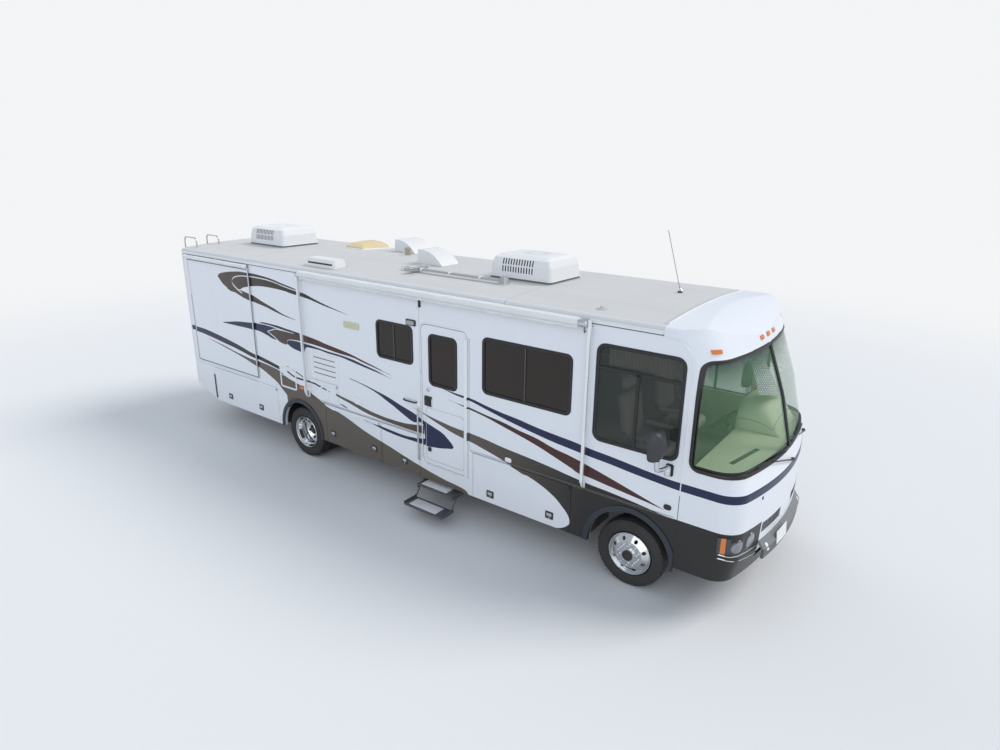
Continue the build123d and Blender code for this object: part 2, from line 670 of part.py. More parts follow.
def rail(side):
    y_out = side * RAIL_OUT
    y_in = side * (RAIL_OUT - RAIL_FLANGE)
    lo, hi = min(y_out, y_in), max(y_out, y_in)
    bar_ = block(RAIL_REAR_X, RAIL_FRONT_X, lo, hi, RAIL_LOW_Z, RAIL_LOW_Z + RAIL_H)
    cut_lo = lo - 1 if side > 0 else lo + RAIL_WEB
    cut_hi = hi - RAIL_WEB if side > 0 else hi + 1
    return bar_ - block(RAIL_REAR_X - 1, RAIL_FRONT_X + 1, cut_lo, cut_hi,
                        RAIL_LOW_Z + RAIL_WEB, RAIL_LOW_Z + RAIL_H - RAIL_WEB)


frame = rail(-1) + rail(1)
CROSS_XS = (-4900.0, -3600.0, -2600.0, -1200.0, 200.0, 1500.0, 2700.0)
for x in CROSS_XS:
    frame += block(x - 40, x + 40, -RAIL_OUT + RAIL_WEB, RAIL_OUT - RAIL_WEB, RAIL_LOW_Z + 60,
                   RAIL_LOW_Z + RAIL_H - RAIL_WEB)
    frame += block(x - 25, x + 25, -RAIL_OUT, RAIL_OUT, RAIL_LOW_Z + RAIL_H, FLOOR_LOW_Z)
frame += block(RAIL_FRONT_X - 40, RAIL_FRONT_X, -RAIL_OUT, RAIL_OUT, RAIL_LOW_Z, RAIL_LOW_Z + RAIL_H)
for side in (-1, 1):
    y0, y1 = sorted((side * RAIL_OUT, side * (RAIL_OUT - RAIL_FLANGE)))
    for x in (-3100.0, -500.0, 900.0, 3300.0, 4250.0):
        frame += block(x - 25, x + 25, y0, y1, RAIL_LOW_Z + RAIL_H, FLOOR_LOW_Z)

# Entry step: arms from the frame swing the upper tread, whose links swing the lower tread
STEP_X0 = 640.0
STEP_X1 = 1280.0
STEP_PLATE = 6.0
STEP_PLANE = 11.0
STEP_PIN_R = 6.0
STEP_FRAME_PIVOT = (-1082.0, 499.0)
STEP_UPPER_PIVOT = (-1235.0, 370.0)
STEP_UPPER_DECK = (-1395.0, -1155.0, 400.0)
STEP_LOWER_DECK = (-1645.0, -1405.0, 200.0)
STEP_LOWER_PIVOT = (-1410.0, 220.0)
STEP_LINK_PIVOT = (-1323.3, 342.4)
DECK_T = 28.0


def plane_x(end, step):
    """Lower and upper x of a plate, counted outwards from the tread's end."""
    if end < 0:
        x1 = STEP_X0 - step * STEP_PLANE + STEP_PLATE
        return x1 - STEP_PLATE, x1
    x0 = STEP_X1 + step * STEP_PLANE - STEP_PLATE
    return x0, x0 + STEP_PLATE


def link_bar(end, step, a, b, r):
    """A flat link with round ends between two pivots, in one plane."""
    x0, x1 = plane_x(end, step)
    length = math.hypot(b[0] - a[0], b[1] - a[1])
    angle = math.degrees(math.atan2(b[1] - a[1], b[0] - a[0]))
    middle = Pos((x0 + x1) / 2, (a[0] + b[0]) / 2, (a[1] + b[1]) / 2)
    bar_ = middle * Rot(angle, 0, 0) * Box(x1 - x0, length, 2 * r)
    return bar_ + rod_x(x0, x1, a[0], a[1], r) + rod_x(x0, x1, b[0], b[1], r)


def step_pin(end, first, last, pivot):
    """A pivot pin from one plane to another."""
    a0, a1 = plane_x(end, first)
    b0, b1 = plane_x(end, last)
    return rod_x(min(a0, b0), max(a1, b1), pivot[0], pivot[1], STEP_PIN_R)


def bore(end, step, pivot):
    x0, x1 = plane_x(end, step)
    return rod_x(x0 - 1, x1 + 1, pivot[0], pivot[1], STEP_PIN_R + RUNNING_GAP)


def tread(deck, x0, x1):
    """A folded steel pan, open below."""
    y0, y1, z = deck
    pan = block(x0, x1, y0, y1, z - DECK_T, z)
    t = STEP_PLATE - 2
    return pan - block(x0 + t, x1 - t, y0 + t, y1 - t, z - DECK_T - 1, z - t)


arms = []
for end in (-1, 1):
    arm = link_bar(end, 3, STEP_FRAME_PIVOT, STEP_UPPER_PIVOT, 13.0)
    arm -= bore(end, 3, STEP_UPPER_PIVOT)
    arm += step_pin(end, 3, 4, STEP_FRAME_PIVOT)
    arms.append(arm)
cross_bar = rod_x(plane_x(-1, 3)[1] - 1, plane_x(1, 3)[0] + 1, STEP_FRAME_PIVOT[0], STEP_FRAME_PIVOT[1], 9.0)
save("step_arms", arms[0] + arms[1] + cross_bar)

upper = tread(STEP_UPPER_DECK, STEP_X0, STEP_X1)
lower = tread(STEP_LOWER_DECK, plane_x(-1, 2)[0], plane_x(1, 2)[1])
links = []
for end in (-1, 1):
    x0, x1 = plane_x(end, 0)
    plate = block(x0 - (6 if end > 0 else 0), x1 + (6 if end < 0 else 0), STEP_UPPER_DECK[0],
                  STEP_UPPER_DECK[1], 340.0, STEP_UPPER_DECK[2])
    upper += plate + rod_x(x0, x1, STEP_LINK_PIVOT[0], STEP_LINK_PIVOT[1], 14.0)
    upper += step_pin(end, 0, 3, STEP_UPPER_PIVOT) + step_pin(end, 0, 1, STEP_LINK_PIVOT)
    link = link_bar(end, 1, STEP_LINK_PIVOT, STEP_LOWER_PIVOT, 10.0)
    link -= bore(end, 1, STEP_LINK_PIVOT)
    link -= bore(end, 1, STEP_LOWER_PIVOT)
    links.append(link)
    x0, x1 = plane_x(end, 2)
    lower += block(x0, x1, STEP_LOWER_DECK[0], STEP_LOWER_DECK[1] + 6, 172.0, STEP_LOWER_DECK[2] + 26)
    lower += rod_x(x0, x1, STEP_LOWER_PIVOT[0], STEP_LOWER_PIVOT[1], 12.0)
    lower += step_pin(end, 1, 2, STEP_LOWER_PIVOT)
    x0, x1 = plane_x(end, 4)
    bracket = block(x0, x1, STEP_FRAME_PIVOT[0] - 30, STEP_FRAME_PIVOT[0] + 40, STEP_FRAME_PIVOT[1] - 20,
                    RAIL_LOW_Z + 40)
    bracket += block(x0, x1, STEP_FRAME_PIVOT[0] - 30, -RAIL_OUT, RAIL_LOW_Z, RAIL_LOW_Z + 40)
    bracket -= bore(end, 4, STEP_FRAME_PIVOT)
    frame += bracket
save("step_upper", upper)
save("step_lower", lower)
save("step_links", *links)
save("chassis_frame", frame)

# Engine as one plain block, and the fuel tank between the rear rails
save("engine_block", block(3150, 4500, -300, 300, 575, FLOOR_LOW_Z - SEAM_GAP))
save("fuel_tank", block(RAIL_REAR_X + 530, REAR_AXLE_X - 739, -330, 330, 500, RAIL_LOW_Z + 60 - SEAM_GAP))

# Axles, springs, knuckles and wheels

SPRING_Y = 394.0
SPRING_W = 76.0


def spring(x, half_span, sag):
    """A leaf pack: an arc from hanger to hanger with two hanger brackets up to the rail."""
    low = HUB_Z + 62
    arc = ThreePointArc((x - half_span, low + sag), (x, low), (x + half_span, low + sag))
    upper_arc = ThreePointArc((x + half_span, low + sag + 14), (x, low + 46), (x - half_span, low + sag + 14))
    edges = [arc, Line(arc @ 1, upper_arc @ 0), upper_arc, Line(upper_arc @ 1, arc @ 0)]
    plane = Plane(origin=(0, SPRING_Y + SPRING_W / 2, 0), x_dir=(1, 0, 0), z_dir=(0, -1, 0))
    pack = extrude(plane * make_face(edges), SPRING_W)
    for end in (-1, 1):
        hx = x + end * (half_span - 25)
        pack += block(hx - 30, hx + 30, SPRING_Y - SPRING_W / 2, SPRING_Y + SPRING_W / 2,
                      low + sag, RAIL_LOW_Z)
    return pack


springs = []
for x, span, sag in ((FRONT_AXLE_X, 600.0, 90.0), (REAR_AXLE_X, 720.0, 110.0)):
    pack = spring(x, span, sag)
    springs.append(pack)
    springs.append(mirror_y(pack))
save("leaf_springs", *springs)

KNUCKLE_BOSS_H = 96.0
KINGPIN_TOP = HUB_Z + KNUCKLE_BOSS_H / 2
BEAM_HALF = 42.0
front_axle = block(FRONT_AXLE_X - 40, FRONT_AXLE_X + 40, -KINGPIN_HALF + 30, KINGPIN_HALF - 30,
                   HUB_Z - BEAM_HALF, HUB_Z + BEAM_HALF)
front_axle -= block(FRONT_AXLE_X + 12, FRONT_AXLE_X + 60, -KINGPIN_HALF + 60, KINGPIN_HALF - 60,
                    HUB_Z - BEAM_HALF + 16, HUB_Z + BEAM_HALF - 16)
front_axle -= block(FRONT_AXLE_X - 60, FRONT_AXLE_X - 12, -KINGPIN_HALF + 60, KINGPIN_HALF - 60,
                    HUB_Z - BEAM_HALF + 16, HUB_Z + BEAM_HALF - 16)
front_axle += block(FRONT_AXLE_X - 40, FRONT_AXLE_X + 40, SPRING_Y - 45, SPRING_Y + 45, HUB_Z, HUB_Z + 61.7)
front_axle += block(FRONT_AXLE_X - 40, FRONT_AXLE_X + 40, -SPRING_Y - 45, -SPRING_Y + 45, HUB_Z, HUB_Z + 61.7)
for side in (-1, 1):
    y = side * KINGPIN_HALF
    boss = rod_z(FRONT_AXLE_X, y, HUB_Z - KNUCKLE_BOSS_H / 2, KINGPIN_TOP, 40.0)
    front_axle += boss
    front_axle -= rod_z(FRONT_AXLE_X, y, HUB_Z - 100, HUB_Z + 100, KINGPIN_R + RUNNING_GAP)
save("front_axle", front_axle)

HUB_OUT = FRONT_TRACK / 2 + 130


def knuckle():
    """The right steering knuckle: yoke, kingpin and spindle."""
    y = -KINGPIN_HALF
    web_in = y - 48
    body = rod_z(FRONT_AXLE_X, y, HUB_Z - 80, HUB_Z + 80, KINGPIN_R)
    for z0 in (HUB_Z - 80, KINGPIN_TOP + 2):
        body += rod_z(FRONT_AXLE_X, y, z0, z0 + 30, 42.0)
        body += block(FRONT_AXLE_X - 42, FRONT_AXLE_X + 42, web_in - 20, y, z0, z0 + 30)
    body += block(FRONT_AXLE_X - 42, FRONT_AXLE_X + 42, web_in - 20, web_in, HUB_Z - 80, HUB_Z + 80)
    body += rod_y(FRONT_AXLE_X, -HUB_OUT, web_in - 19, HUB_Z, 35.0)
    return body


save("knuckle_right", knuckle())
save("knuckle_left", mirror_y(knuckle()))

TYRE_SHOULDER = 34.0
BEAD_IN = 22.0


def tyre(x, y):
    """A truck tyre: flat tread, chamfered shoulders, bulged sides and two beads."""
    half = TYRE_W / 2
    bead = half - BEAD_IN
    profile = [
        (RIM_R + RUNNING_GAP, -bead), (RIM_R + 45, -half + 4), (TYRE_R - 65, -half),
        (TYRE_R - 12, -half + TYRE_SHOULDER), (TYRE_R, -half + TYRE_SHOULDER + 14),
        (TYRE_R, half - TYRE_SHOULDER - 14), (TYRE_R - 12, half - TYRE_SHOULDER),
        (TYRE_R - 65, half), (RIM_R + 45, half - 4), (RIM_R + RUNNING_GAP, bead),
    ]
    face = make_face(Polyline(*profile, close=True))
    return Pos(x, y, HUB_Z) * Rot(90, 0, 0) * revolve(Plane.XZ * face, axis=Axis.Z)


def rim(x, y, face, hub_in, hub_out, spindle_r):
    """A pressed wheel: a well-based rim and a bowl-shaped disc with hand holes and a hub.

    The mounting face stands at face from the rim's middle, and the hub runs from hub_in to hub_out.
    """
    half = TYRE_W / 2 - BEAD_IN + RIM_LIP
    r = RIM_R
    side = 1 if face > 0 else -1
    profile = [
        (r, -half), (r, half), (r - 14, half), (r - 26, half - 24), (r - 32, 20), (r - 32, -20),
        (r - 26, -half + 24), (r - 14, -half),
    ]
    wheel = revolve(Plane.XZ * make_face(Polyline(*profile, close=True)), axis=Axis.Z)
    edge = side * (half - 24)
    back = face - side * DISC_T
    bowl = [
        (r - 20, edge), (r - 20, edge + side * DISC_T), (BOWL_R, face), (60, face), (60, back),
        (BOWL_R - 6, back), (r - 30, edge),
    ]
    disc = revolve(Plane.XZ * make_face(Polyline(*bowl, close=True)), axis=Axis.Z)
    for i in range(HAND_HOLES):
        angle = 2 * math.pi * (i + 0.5) / HAND_HOLES
        disc -= Pos(HAND_HOLE_AT * math.cos(angle), HAND_HOLE_AT * math.sin(angle), face) * Cylinder(
            HAND_HOLE_R, 160)
    wheel += disc
    wheel += Pos(0, 0, (hub_in + hub_out) / 2) * Cylinder(HUB_R, hub_out - hub_in)
    wheel -= Cylinder(spindle_r, 900)
    return Pos(x, y, HUB_Z) * Rot(90, 0, 0) * wheel


RIM_LIP = 6.0
DISC_T = 10.0
BOWL_R = 165.0
HAND_HOLE_AT = 196.0
HAND_HOLE_R = 22.0
FACE_AT = DUAL_SPACING / 2
HAND_HOLES = 8
SPINDLE_R = 35.0
front_y = -FRONT_TRACK / 2
front_rim = rim(FRONT_AXLE_X, front_y, FACE_AT, 20.0, FACE_AT + 22, SPINDLE_R + RUNNING_GAP)
front_tyre = tyre(FRONT_AXLE_X, front_y)
save("rim_front_right", front_rim)
save("rim_front_left", mirror_y(front_rim))
save("tyre_front_right", front_tyre)
save("tyre_front_left", mirror_y(front_tyre))

outer_y = -REAR_OUTER_TRACK / 2
inner_y = outer_y + DUAL_SPACING
rear_outer = rim(REAR_AXLE_X, outer_y, -FACE_AT, -FACE_AT - 90, -FACE_AT + 95, SPINDLE_R + RUNNING_GAP)
rear_inner = rim(REAR_AXLE_X, inner_y, FACE_AT, FACE_AT - 90, FACE_AT, SPINDLE_R + RUNNING_GAP)
rear_rims = rear_outer + rear_inner
rear_tyres = [tyre(REAR_AXLE_X, outer_y), tyre(REAR_AXLE_X, inner_y)]
save("rims_rear_right", rear_rims)
save("rims_rear_left", mirror_y(rear_rims))
save("tyres_rear_right", *rear_tyres)
save("tyres_rear_left", mirror_y(rear_tyres[0]), mirror_y(rear_tyres[1]))

rear_axle = rod_y(REAR_AXLE_X, -700, 700, HUB_Z, 62.0)
rear_axle += rod_y(REAR_AXLE_X, outer_y + 20, -outer_y - 20, HUB_Z, SPINDLE_R)
rear_axle += Pos(REAR_AXLE_X, 0, HUB_Z) * Sphere(185)
save("rear_axle", rear_axle)

# Slide-out room: a hollow box open to the cabin, with a flange outside the wall

SX0, SX1, SZ0, SZ1 = SLIDE_X0, SLIDE_X1, SLIDE_Z0, SLIDE_Z1
face_y = -HALF - SLIDE_SEAL - SLIDE_FLANGE_T
room = block(SX0, SX1, face_y, -HALF + SLIDE_DEPTH, SZ0, SZ1)
room -= block(SX0 + SLIDE_WALL, SX1 - SLIDE_WALL, -HALF + SLIDE_WALL, -HALF + SLIDE_DEPTH + 1,
              SZ0 + SLIDE_WALL, SZ1 - SLIDE_WALL)
room += block(SX0 - SLIDE_FLANGE, SX1 + SLIDE_FLANGE, face_y, face_y + SLIDE_FLANGE_T,
              SZ0 - SLIDE_FLANGE, SZ1 + SLIDE_FLANGE)
save("slide_room", room)

TOPPER_R = 34.0
topper_y = face_y - TOPPER_R - 8
topper_z = SZ1 + 80
topper = [rod_x(SX0 - 20, SX1 + 20, topper_y, topper_z, TOPPER_R)]
for x in (SX0 - 32 - GLASS_GAP, SX1 + 20 + GLASS_GAP):
    bracket = block(x, x + 12, topper_y - 20, face_y, topper_z - 22, topper_z + 22)
    bracket += block(x, x + 12, face_y - 12, face_y, SZ1 - 600, topper_z + 22)
    topper.append(bracket)
save("slide_topper", *topper)

# Main awning: roller tube at the eave, with its arms folded on the wall
AWNING_X0 = -1760.0
AWNING_X1 = 3185.0
AWNING_R = 52.0
AWNING_Z = EAVE_Z - 25.0
AWNING_FOOT_Z = 1107.0
awning_y = -HALF - 22 - AWNING_R
ARM_HALF = 18.0
tube_x0 = AWNING_X0 + ARM_HALF + GLASS_GAP
tube_x1 = AWNING_X1 - ARM_HALF - GLASS_GAP
awning = [rod_x(tube_x0, tube_x1, awning_y, AWNING_Z, AWNING_R)]
for x in (AWNING_X0, AWNING_X1):
    arm = block(x - ARM_HALF, x + ARM_HALF, awning_y - 20, awning_y + 25, AWNING_FOOT_Z + 60, AWNING_Z + 40)
    arm += block(x - 14, x + 14, awning_y + 25, -HALF, AWNING_FOOT_Z, AWNING_FOOT_Z + 90)
    arm += block(x - 14, x + 14, awning_y + 25, -HALF, EAVE_Z - 160, EAVE_Z - 60)
    arm += block(x - 14, x + 14, awning_y, awning_y + 30, AWNING_FOOT_Z, AWNING_FOOT_Z + 90)
    awning.append(arm)
save("awning", *awning)


# Roof gear

def roof_z(y):
    """Height of the crowned roof at y."""
    sag = ROOF_TOP_Z - ROOF_SHOULDER_Z
    half = HALF - ROOF_SHOULDER_IN
    crown = (half ** 2 + sag ** 2) / (2 * sag)
    return ROOF_TOP_Z - crown + math.sqrt(crown ** 2 - y ** 2)


def roof_unit(x0, x1, y0, y1, height, stations):
    """A moulded cover standing on the roof: rounded rectangles that narrow upwards."""
    low = roof_z(max(abs(y0), abs(y1)))
    rise = roof_z((y0 + y1) / 2) + height - low
    corner = min(COVER_CORNER_R, (y1 - y0) / 4)
    faces = []
    for share, narrowing in stations:
        place = Pos((x0 + x1) / 2, (y0 + y1) / 2, low + rise * share)
        faces.append(place * RectangleRounded(x1 - x0 - narrowing, y1 - y0 - narrowing, corner))
    cover = loft(faces, ruled=True)
    return cover - roof_prism(0, EAVE_Z - 40, x0 - 10, x1 + 10)


def cooler(x0, x1, y0, y1, height):
    """An air conditioner's cover with two rows of intake slots in the rear of its right face."""
    cover = roof_unit(x0, x1, y0, y1, height, COOLER_STATIONS)
    for slot_z0, slot_z1, slot_in in SLOT_ROWS:
        for i in range(SLOTS):
            slot_x = x0 + SLOT_START + i * SLOT_PITCH
            cover -= block(slot_x, slot_x + SLOT_W, y0 - 5, y0 + slot_in, slot_z0, slot_z1)
    return cover


def vent_hood(x0, x1, y0, y1, height):
    """A bent sheet hood: upright at its back and curved down to its front edge."""
    top = roof_z((y0 + y1) / 2) + height
    low = EAVE_Z
    edges = [
        Line((x0, low), (x0 + 25, top)),
        ThreePointArc((x0 + 25, top), (x0 + 0.66 * (x1 - x0), top - 0.30 * height), (x1, top - height - 10)),
        Line((x1, top - height - 10), (x1, low)),
        Line((x1, low), (x0, low)),
    ]
    plane = Plane(origin=(0, y1, 0), x_dir=(1, 0, 0), z_dir=(0, -1, 0))
    return extrude(plane * make_face(edges), y1 - y0) - roof_prism(0, EAVE_Z - 40, x0 - 10, x1 + 10)


# Moulded covers, each a list of stations: share of the height, narrowing there
COVER_CORNER_R = 45.0
COOLER_STATIONS = [(0.0, 0.0), (0.62, 36.0), (0.86, 90.0), (0.97, 200.0), (1.0, 330.0)]
DOME_STATIONS = [(0.0, 0.0), (0.5, 60.0), (0.85, 200.0), (1.0, 380.0)]
BOX_STATIONS = [(0.0, 0.0), (1.0, 50.0)]
# Air conditioners: x0, x1, y0, y1, height
COOLERS = [
    (1085.0, 2060.0, -360.0, 400.0, 330.0),
    (-4360.0, -3385.0, -360.0, 400.0, 330.0),
]
# Intake slots: z0, z1, how far in from the cover's foot
SLOT_ROWS = [
    (ROOF_TOP_Z + 105, ROOF_TOP_Z + 180, 30.0),
    (ROOF_TOP_Z + 200, ROOF_TOP_Z + 275, 52.0),
]
SLOTS = 12
SLOT_START = 205.0
SLOT_PITCH = 42.0
SLOT_W = 18.0
FRIDGE_VENT = (-1810.0, -1130.0, -1140.0, -890.0, 115.0)
SKYLIGHT = (-2760.0, -2250.0, 420.0, 1090.0, 120.0)
# Hoods over the roof vents: x0, x1, y0, y1, height
HOODS = [
    (-1760.0, -1270.0, 690.0, 1150.0, 220.0),
    (-460.0, 50.0, -130.0, 250.0, 215.0),
]
STACK = (-1260.0, 503.0)
STACK_R = 45.0
STACK_H = 110.0
coolers = []
for row in COOLERS:
    coolers.append(cooler(*row))
save("air_conditioners", *coolers)
vents = [roof_unit(*FRIDGE_VENT, BOX_STATIONS), roof_unit(*SKYLIGHT, DOME_STATIONS)]
for row in HOODS:
    vents.append(vent_hood(*row))
stack = rod_z(*STACK, ROOF_SHOULDER_Z, roof_z(STACK[1]) + STACK_H, STACK_R)
vents.append(stack - roof_prism(0, EAVE_Z - 40, STACK[0] - 100, STACK[0] + 100))
save("roof_vents", *vents)

# Antennas: the television mast folded down on its base, and a whip ahead of it
MAST_X = (-280.0, 1480.0)
MAST_Y = -620.0
MAST_UP = 45.0
MAST_HALF_W = 22.0
MAST_HALF_H = 14.0
MAST_BASE = (1440.0, 1580.0, -665.0, -545.0, 105.0)
WHIP_FOOT = (3506.0, 288.0)
WHIP_TOP = (3305.0, 250.0, 3930.0)
WHIP_R = 3.0
mast_z = roof_z(MAST_Y) + MAST_UP
mast = block(*MAST_X, MAST_Y - MAST_HALF_W, MAST_Y + MAST_HALF_W, mast_z - MAST_HALF_H, mast_z + MAST_HALF_H)
mast += block(MAST_X[0], MAST_X[0] + 60, MAST_Y - 30, MAST_Y + 30, ROOF_SHOULDER_Z, mast_z)
mast += block(MAST_X[0] + 250, MAST_X[0] + 330, MAST_Y - 190, MAST_Y + 190, mast_z - 10, mast_z + 24)
mast -= roof_prism(0, EAVE_Z - 40, MAST_X[0] - 10, MAST_X[1] + 10)
mast += roof_unit(*MAST_BASE, BOX_STATIONS)
whip_foot = Pos(*WHIP_FOOT, roof_z(WHIP_FOOT[1])) * Cylinder(28.0, 60.0)
whip_line = Line((*WHIP_FOOT, roof_z(WHIP_FOOT[1]) + 20), WHIP_TOP)
whip = sweep(Plane(origin=whip_line @ 0, z_dir=whip_line % 0) * Circle(WHIP_R), path=whip_line)
whip += whip_foot - roof_prism(0, EAVE_Z - 40, WHIP_FOOT[0] - 100, WHIP_FOOT[0] + 100)
save("antennas", mast, whip)

# Rear ladder, whose posts bend forward over the roof's edge
LADDER_Y = -900.0
LADDER_HALF = 210.0
LADDER_OUT = 130.0
LADDER_LOW_Z = 900.0
LADDER_TOP_Z = ROOF_TOP_Z + 125
LADDER_REACH = 380.0
LADDER_BEND_R = 75.0
POST_R = 13.0
RUNG_R = 12.0
RUNGS = 7
RUNG_PITCH = 320.0
lx = REAR_X - LADDER_OUT
ladder = None
for y in (LADDER_Y - LADDER_HALF, LADDER_Y + LADDER_HALF):
    route = FilletPolyline(
        (lx, y, LADDER_LOW_Z), (lx, y, LADDER_TOP_Z), (lx + LADDER_REACH, y, LADDER_TOP_Z),
        (lx + LADDER_REACH, y, roof_z(y) - 2), radius=LADDER_BEND_R)
    post = sweep(Plane(origin=route @ 0, z_dir=route % 0) * Circle(POST_R), path=route)
    for z in (LADDER_LOW_Z + 100, LADDER_LOW_Z + 1100, LADDER_LOW_Z + 2050):
        post += rod_x(lx, REAR_X, y, z, POST_R - 2)
    ladder = post if ladder is None else ladder + post
for i in range(RUNGS):
    rung_z = LADDER_LOW_Z + 150 + i * RUNG_PITCH
    ladder += rod_y(lx, LADDER_Y - LADDER_HALF, LADDER_Y + LADDER_HALF, rung_z, RUNG_R)
ladder -= roof_prism(0, EAVE_Z - 40, REAR_X, REAR_X + 500)
save("ladder", ladder)

# Rear bumper and receiver

RECEIVER_HALF = 25.4
RECEIVER_WALL = 6.4
HITCH_PIN_R = 8.1
RECEIVER_Z = 560.0
RECEIVER_X = REAR_X - 90
BAR_HALF_W = 1180.0
BAR_T = 110.0
bumper_rear = block(REAR_X - BAR_T, REAR_X - SEAM_GAP, -BAR_HALF_W, BAR_HALF_W, DEPARTURE_Z + 10,
                    DEPARTURE_Z + 160)
outer = RECEIVER_HALF + RECEIVER_WALL
tube = block(RECEIVER_X, REAR_X + 500, -outer, outer, RECEIVER_Z - outer, RECEIVER_Z + outer)
tube -= block(RECEIVER_X - 1, REAR_X + 250, -RECEIVER_HALF, RECEIVER_HALF, RECEIVER_Z - RECEIVER_HALF,
              RECEIVER_Z + RECEIVER_HALF)
tube -= rod_y(RECEIVER_X + 60, -60, 60, RECEIVER_Z, HITCH_PIN_R)
hitch = tube + block(REAR_X + 260, REAR_X + 340, -RAIL_OUT, RAIL_OUT, RECEIVER_Z - 40, RECEIVER_Z + 40)
for side in (-1, 1):
    y0, y1 = sorted((side * RAIL_OUT, side * (RAIL_OUT - 12)))
    hitch += block(REAR_X + 200, REAR_X + 400, y0, y1, RECEIVER_Z - 40, RAIL_LOW_Z)
save("rear_bumper", bumper_rear)
save("hitch_receiver", hitch)

# Red lamps: five along the top of the rear wall and a tail lamp on each side
TAIL_LAMP_Y = 1130.0
TAIL_LAMP_HALF = 80.0
TAIL_LAMP_Z = (1060.0, 1300.0)
marks = []
for y in BROW_LAMP_Y:
    marks.append(block(REAR_X - 22, REAR_X, y - BROW_LAMP_HALF, y + BROW_LAMP_HALF, EAVE_Z - 60, EAVE_Z - 25))
for y in (-TAIL_LAMP_Y, TAIL_LAMP_Y):
    marks.append(block(REAR_X - 30, REAR_X, y - TAIL_LAMP_HALF, y + TAIL_LAMP_HALF, *TAIL_LAMP_Z))
save("rear_lamps", *marks)

# Mirrors on each front corner
MIRROR_AT = (4130.0, -1500.0, 1955.0)
MIRROR_SIZE = (150.0, 250.0, 400.0)
MIRROR_R = 55.0
MIRROR_ARM_Z = 1665.0
MIRROR_FOOT = (4150.0, 4220.0, 1570.0, 1690.0)
MIRROR_TUBE_R = 20.0
mx, my, mz = MIRROR_AT
head_low = mz - MIRROR_SIZE[2] / 2
fx0, fx1, fz0, fz1 = MIRROR_FOOT
mirror_head = Pos(mx, my, head_low) * extrude(RectangleRounded(MIRROR_SIZE[0], MIRROR_SIZE[1], MIRROR_R),
                                              MIRROR_SIZE[2])
mirror_head = fillet(mirror_head.faces().sort_by(Axis.Z)[-1].edges(), MIRROR_R - 20)
mirror_head += block(fx0, fx1, -HALF - 16, -HALF, fz0, fz1)
foot_x = (fx0 + fx1) / 2
mirror_head += rod_y(foot_x, -HALF - 70, -HALF - 15, MIRROR_ARM_Z - 40, MIRROR_TUBE_R)
mirror_head += rod_z(foot_x, -HALF - 70, MIRROR_ARM_Z - 60, MIRROR_ARM_Z, MIRROR_TUBE_R)
mirror_head += rod_y(foot_x, my, -HALF - 70, MIRROR_ARM_Z, MIRROR_TUBE_R)
mirror_head += rod_x(mx, foot_x, my, MIRROR_ARM_Z, MIRROR_TUBE_R)
mirror_head += rod_z(mx, my, MIRROR_ARM_Z - MIRROR_TUBE_R, head_low + 10, MIRROR_TUBE_R)
save("mirrors", mirror_head, mirror_y(mirror_head))

# Cab: dash, steering wheel and two seats
DASH_TOP_Z = 1660.0
DASH_LOW_Z = 1300.0
DASH_BACK_X = 4380.0
KNEE_X = 4560.0
KNEE_Z = 1420.0
CONSOLE = (4480.0, 4800.0, -620.0, 40.0)
dash = front_form(CAP_T + SEAM_GAP, [(DASH_LOW_Z, 5050.0, 250.0), (DASH_TOP_Z, 5050.0, 280.0)], DASH_BACK_X)
dash -= block(DASH_BACK_X - 80, KNEE_X, -HALF, HALF, DASH_LOW_Z - 50, KNEE_Z)
dash += block(*CONSOLE, FLOOR_TOP_Z, KNEE_Z - 20)
# The driver's instrument pod stands on the dash: x0, x1, y0, y1 at its foot and at its top
POD_FOOT = (4400.0, 4860.0, 300.0, 1010.0)
POD_LID = (4470.0, 4700.0, 430.0, 900.0)
POD_TOP_Z = 1890.0
pod_faces = []
for (px0, px1, py0, py1), pz in ((POD_FOOT, DASH_TOP_Z - 30), (POD_LID, POD_TOP_Z)):
    pod_faces.append(Pos((px0 + px1) / 2, (py0 + py1) / 2, pz) * Rectangle(px1 - px0, py1 - py0))
dash += loft(pod_faces, ruled=True)

WHEEL_CENTRE = (4150.0, 520.0, 1640.0)
WHEEL_TILT = 40.0
WHEEL_R = 215.0
WHEEL_RIM_R = 14.0
steer = Torus(WHEEL_R, WHEEL_RIM_R)
steer += Box(2 * WHEEL_R - 10, 36, WHEEL_RIM_R) + Cylinder(50, 30)
steer += Pos(0, 0, -60) * Cylinder(24, 110)
save("steering_wheel", Pos(*WHEEL_CENTRE) * Rot(0, -WHEEL_TILT, 0) * steer)
COLUMN_TOP = -115.0 - SEAM_GAP
COLUMN_LOW = -760.0
column = Pos(*WHEEL_CENTRE) * Rot(0, -WHEEL_TILT, 0) * Pos(0, 0, (COLUMN_TOP + COLUMN_LOW) / 2) * Cylinder(
    30, COLUMN_TOP - COLUMN_LOW)
column += block(4400, 4450, WHEEL_CENTRE[1] - 40, WHEEL_CENTRE[1] + 40, 1320, 1430)
column -= block(4300, 4900, 400, 640, FLOOR_TOP_Z - 200, FLOOR_TOP_Z)
save("dash", dash + column)


# Seats, measured from each seat's middle and from the floor
SEAT_X = (3640.0, 3700.0)
SEAT_Y = (520.0, -560.0)
SEAT_HALF_W = 250.0
SEAT_TOP = 455.0
SEAT_PAD_R = 60.0
BACK_LEAN = 9.0
ARM_TOP = 610.0


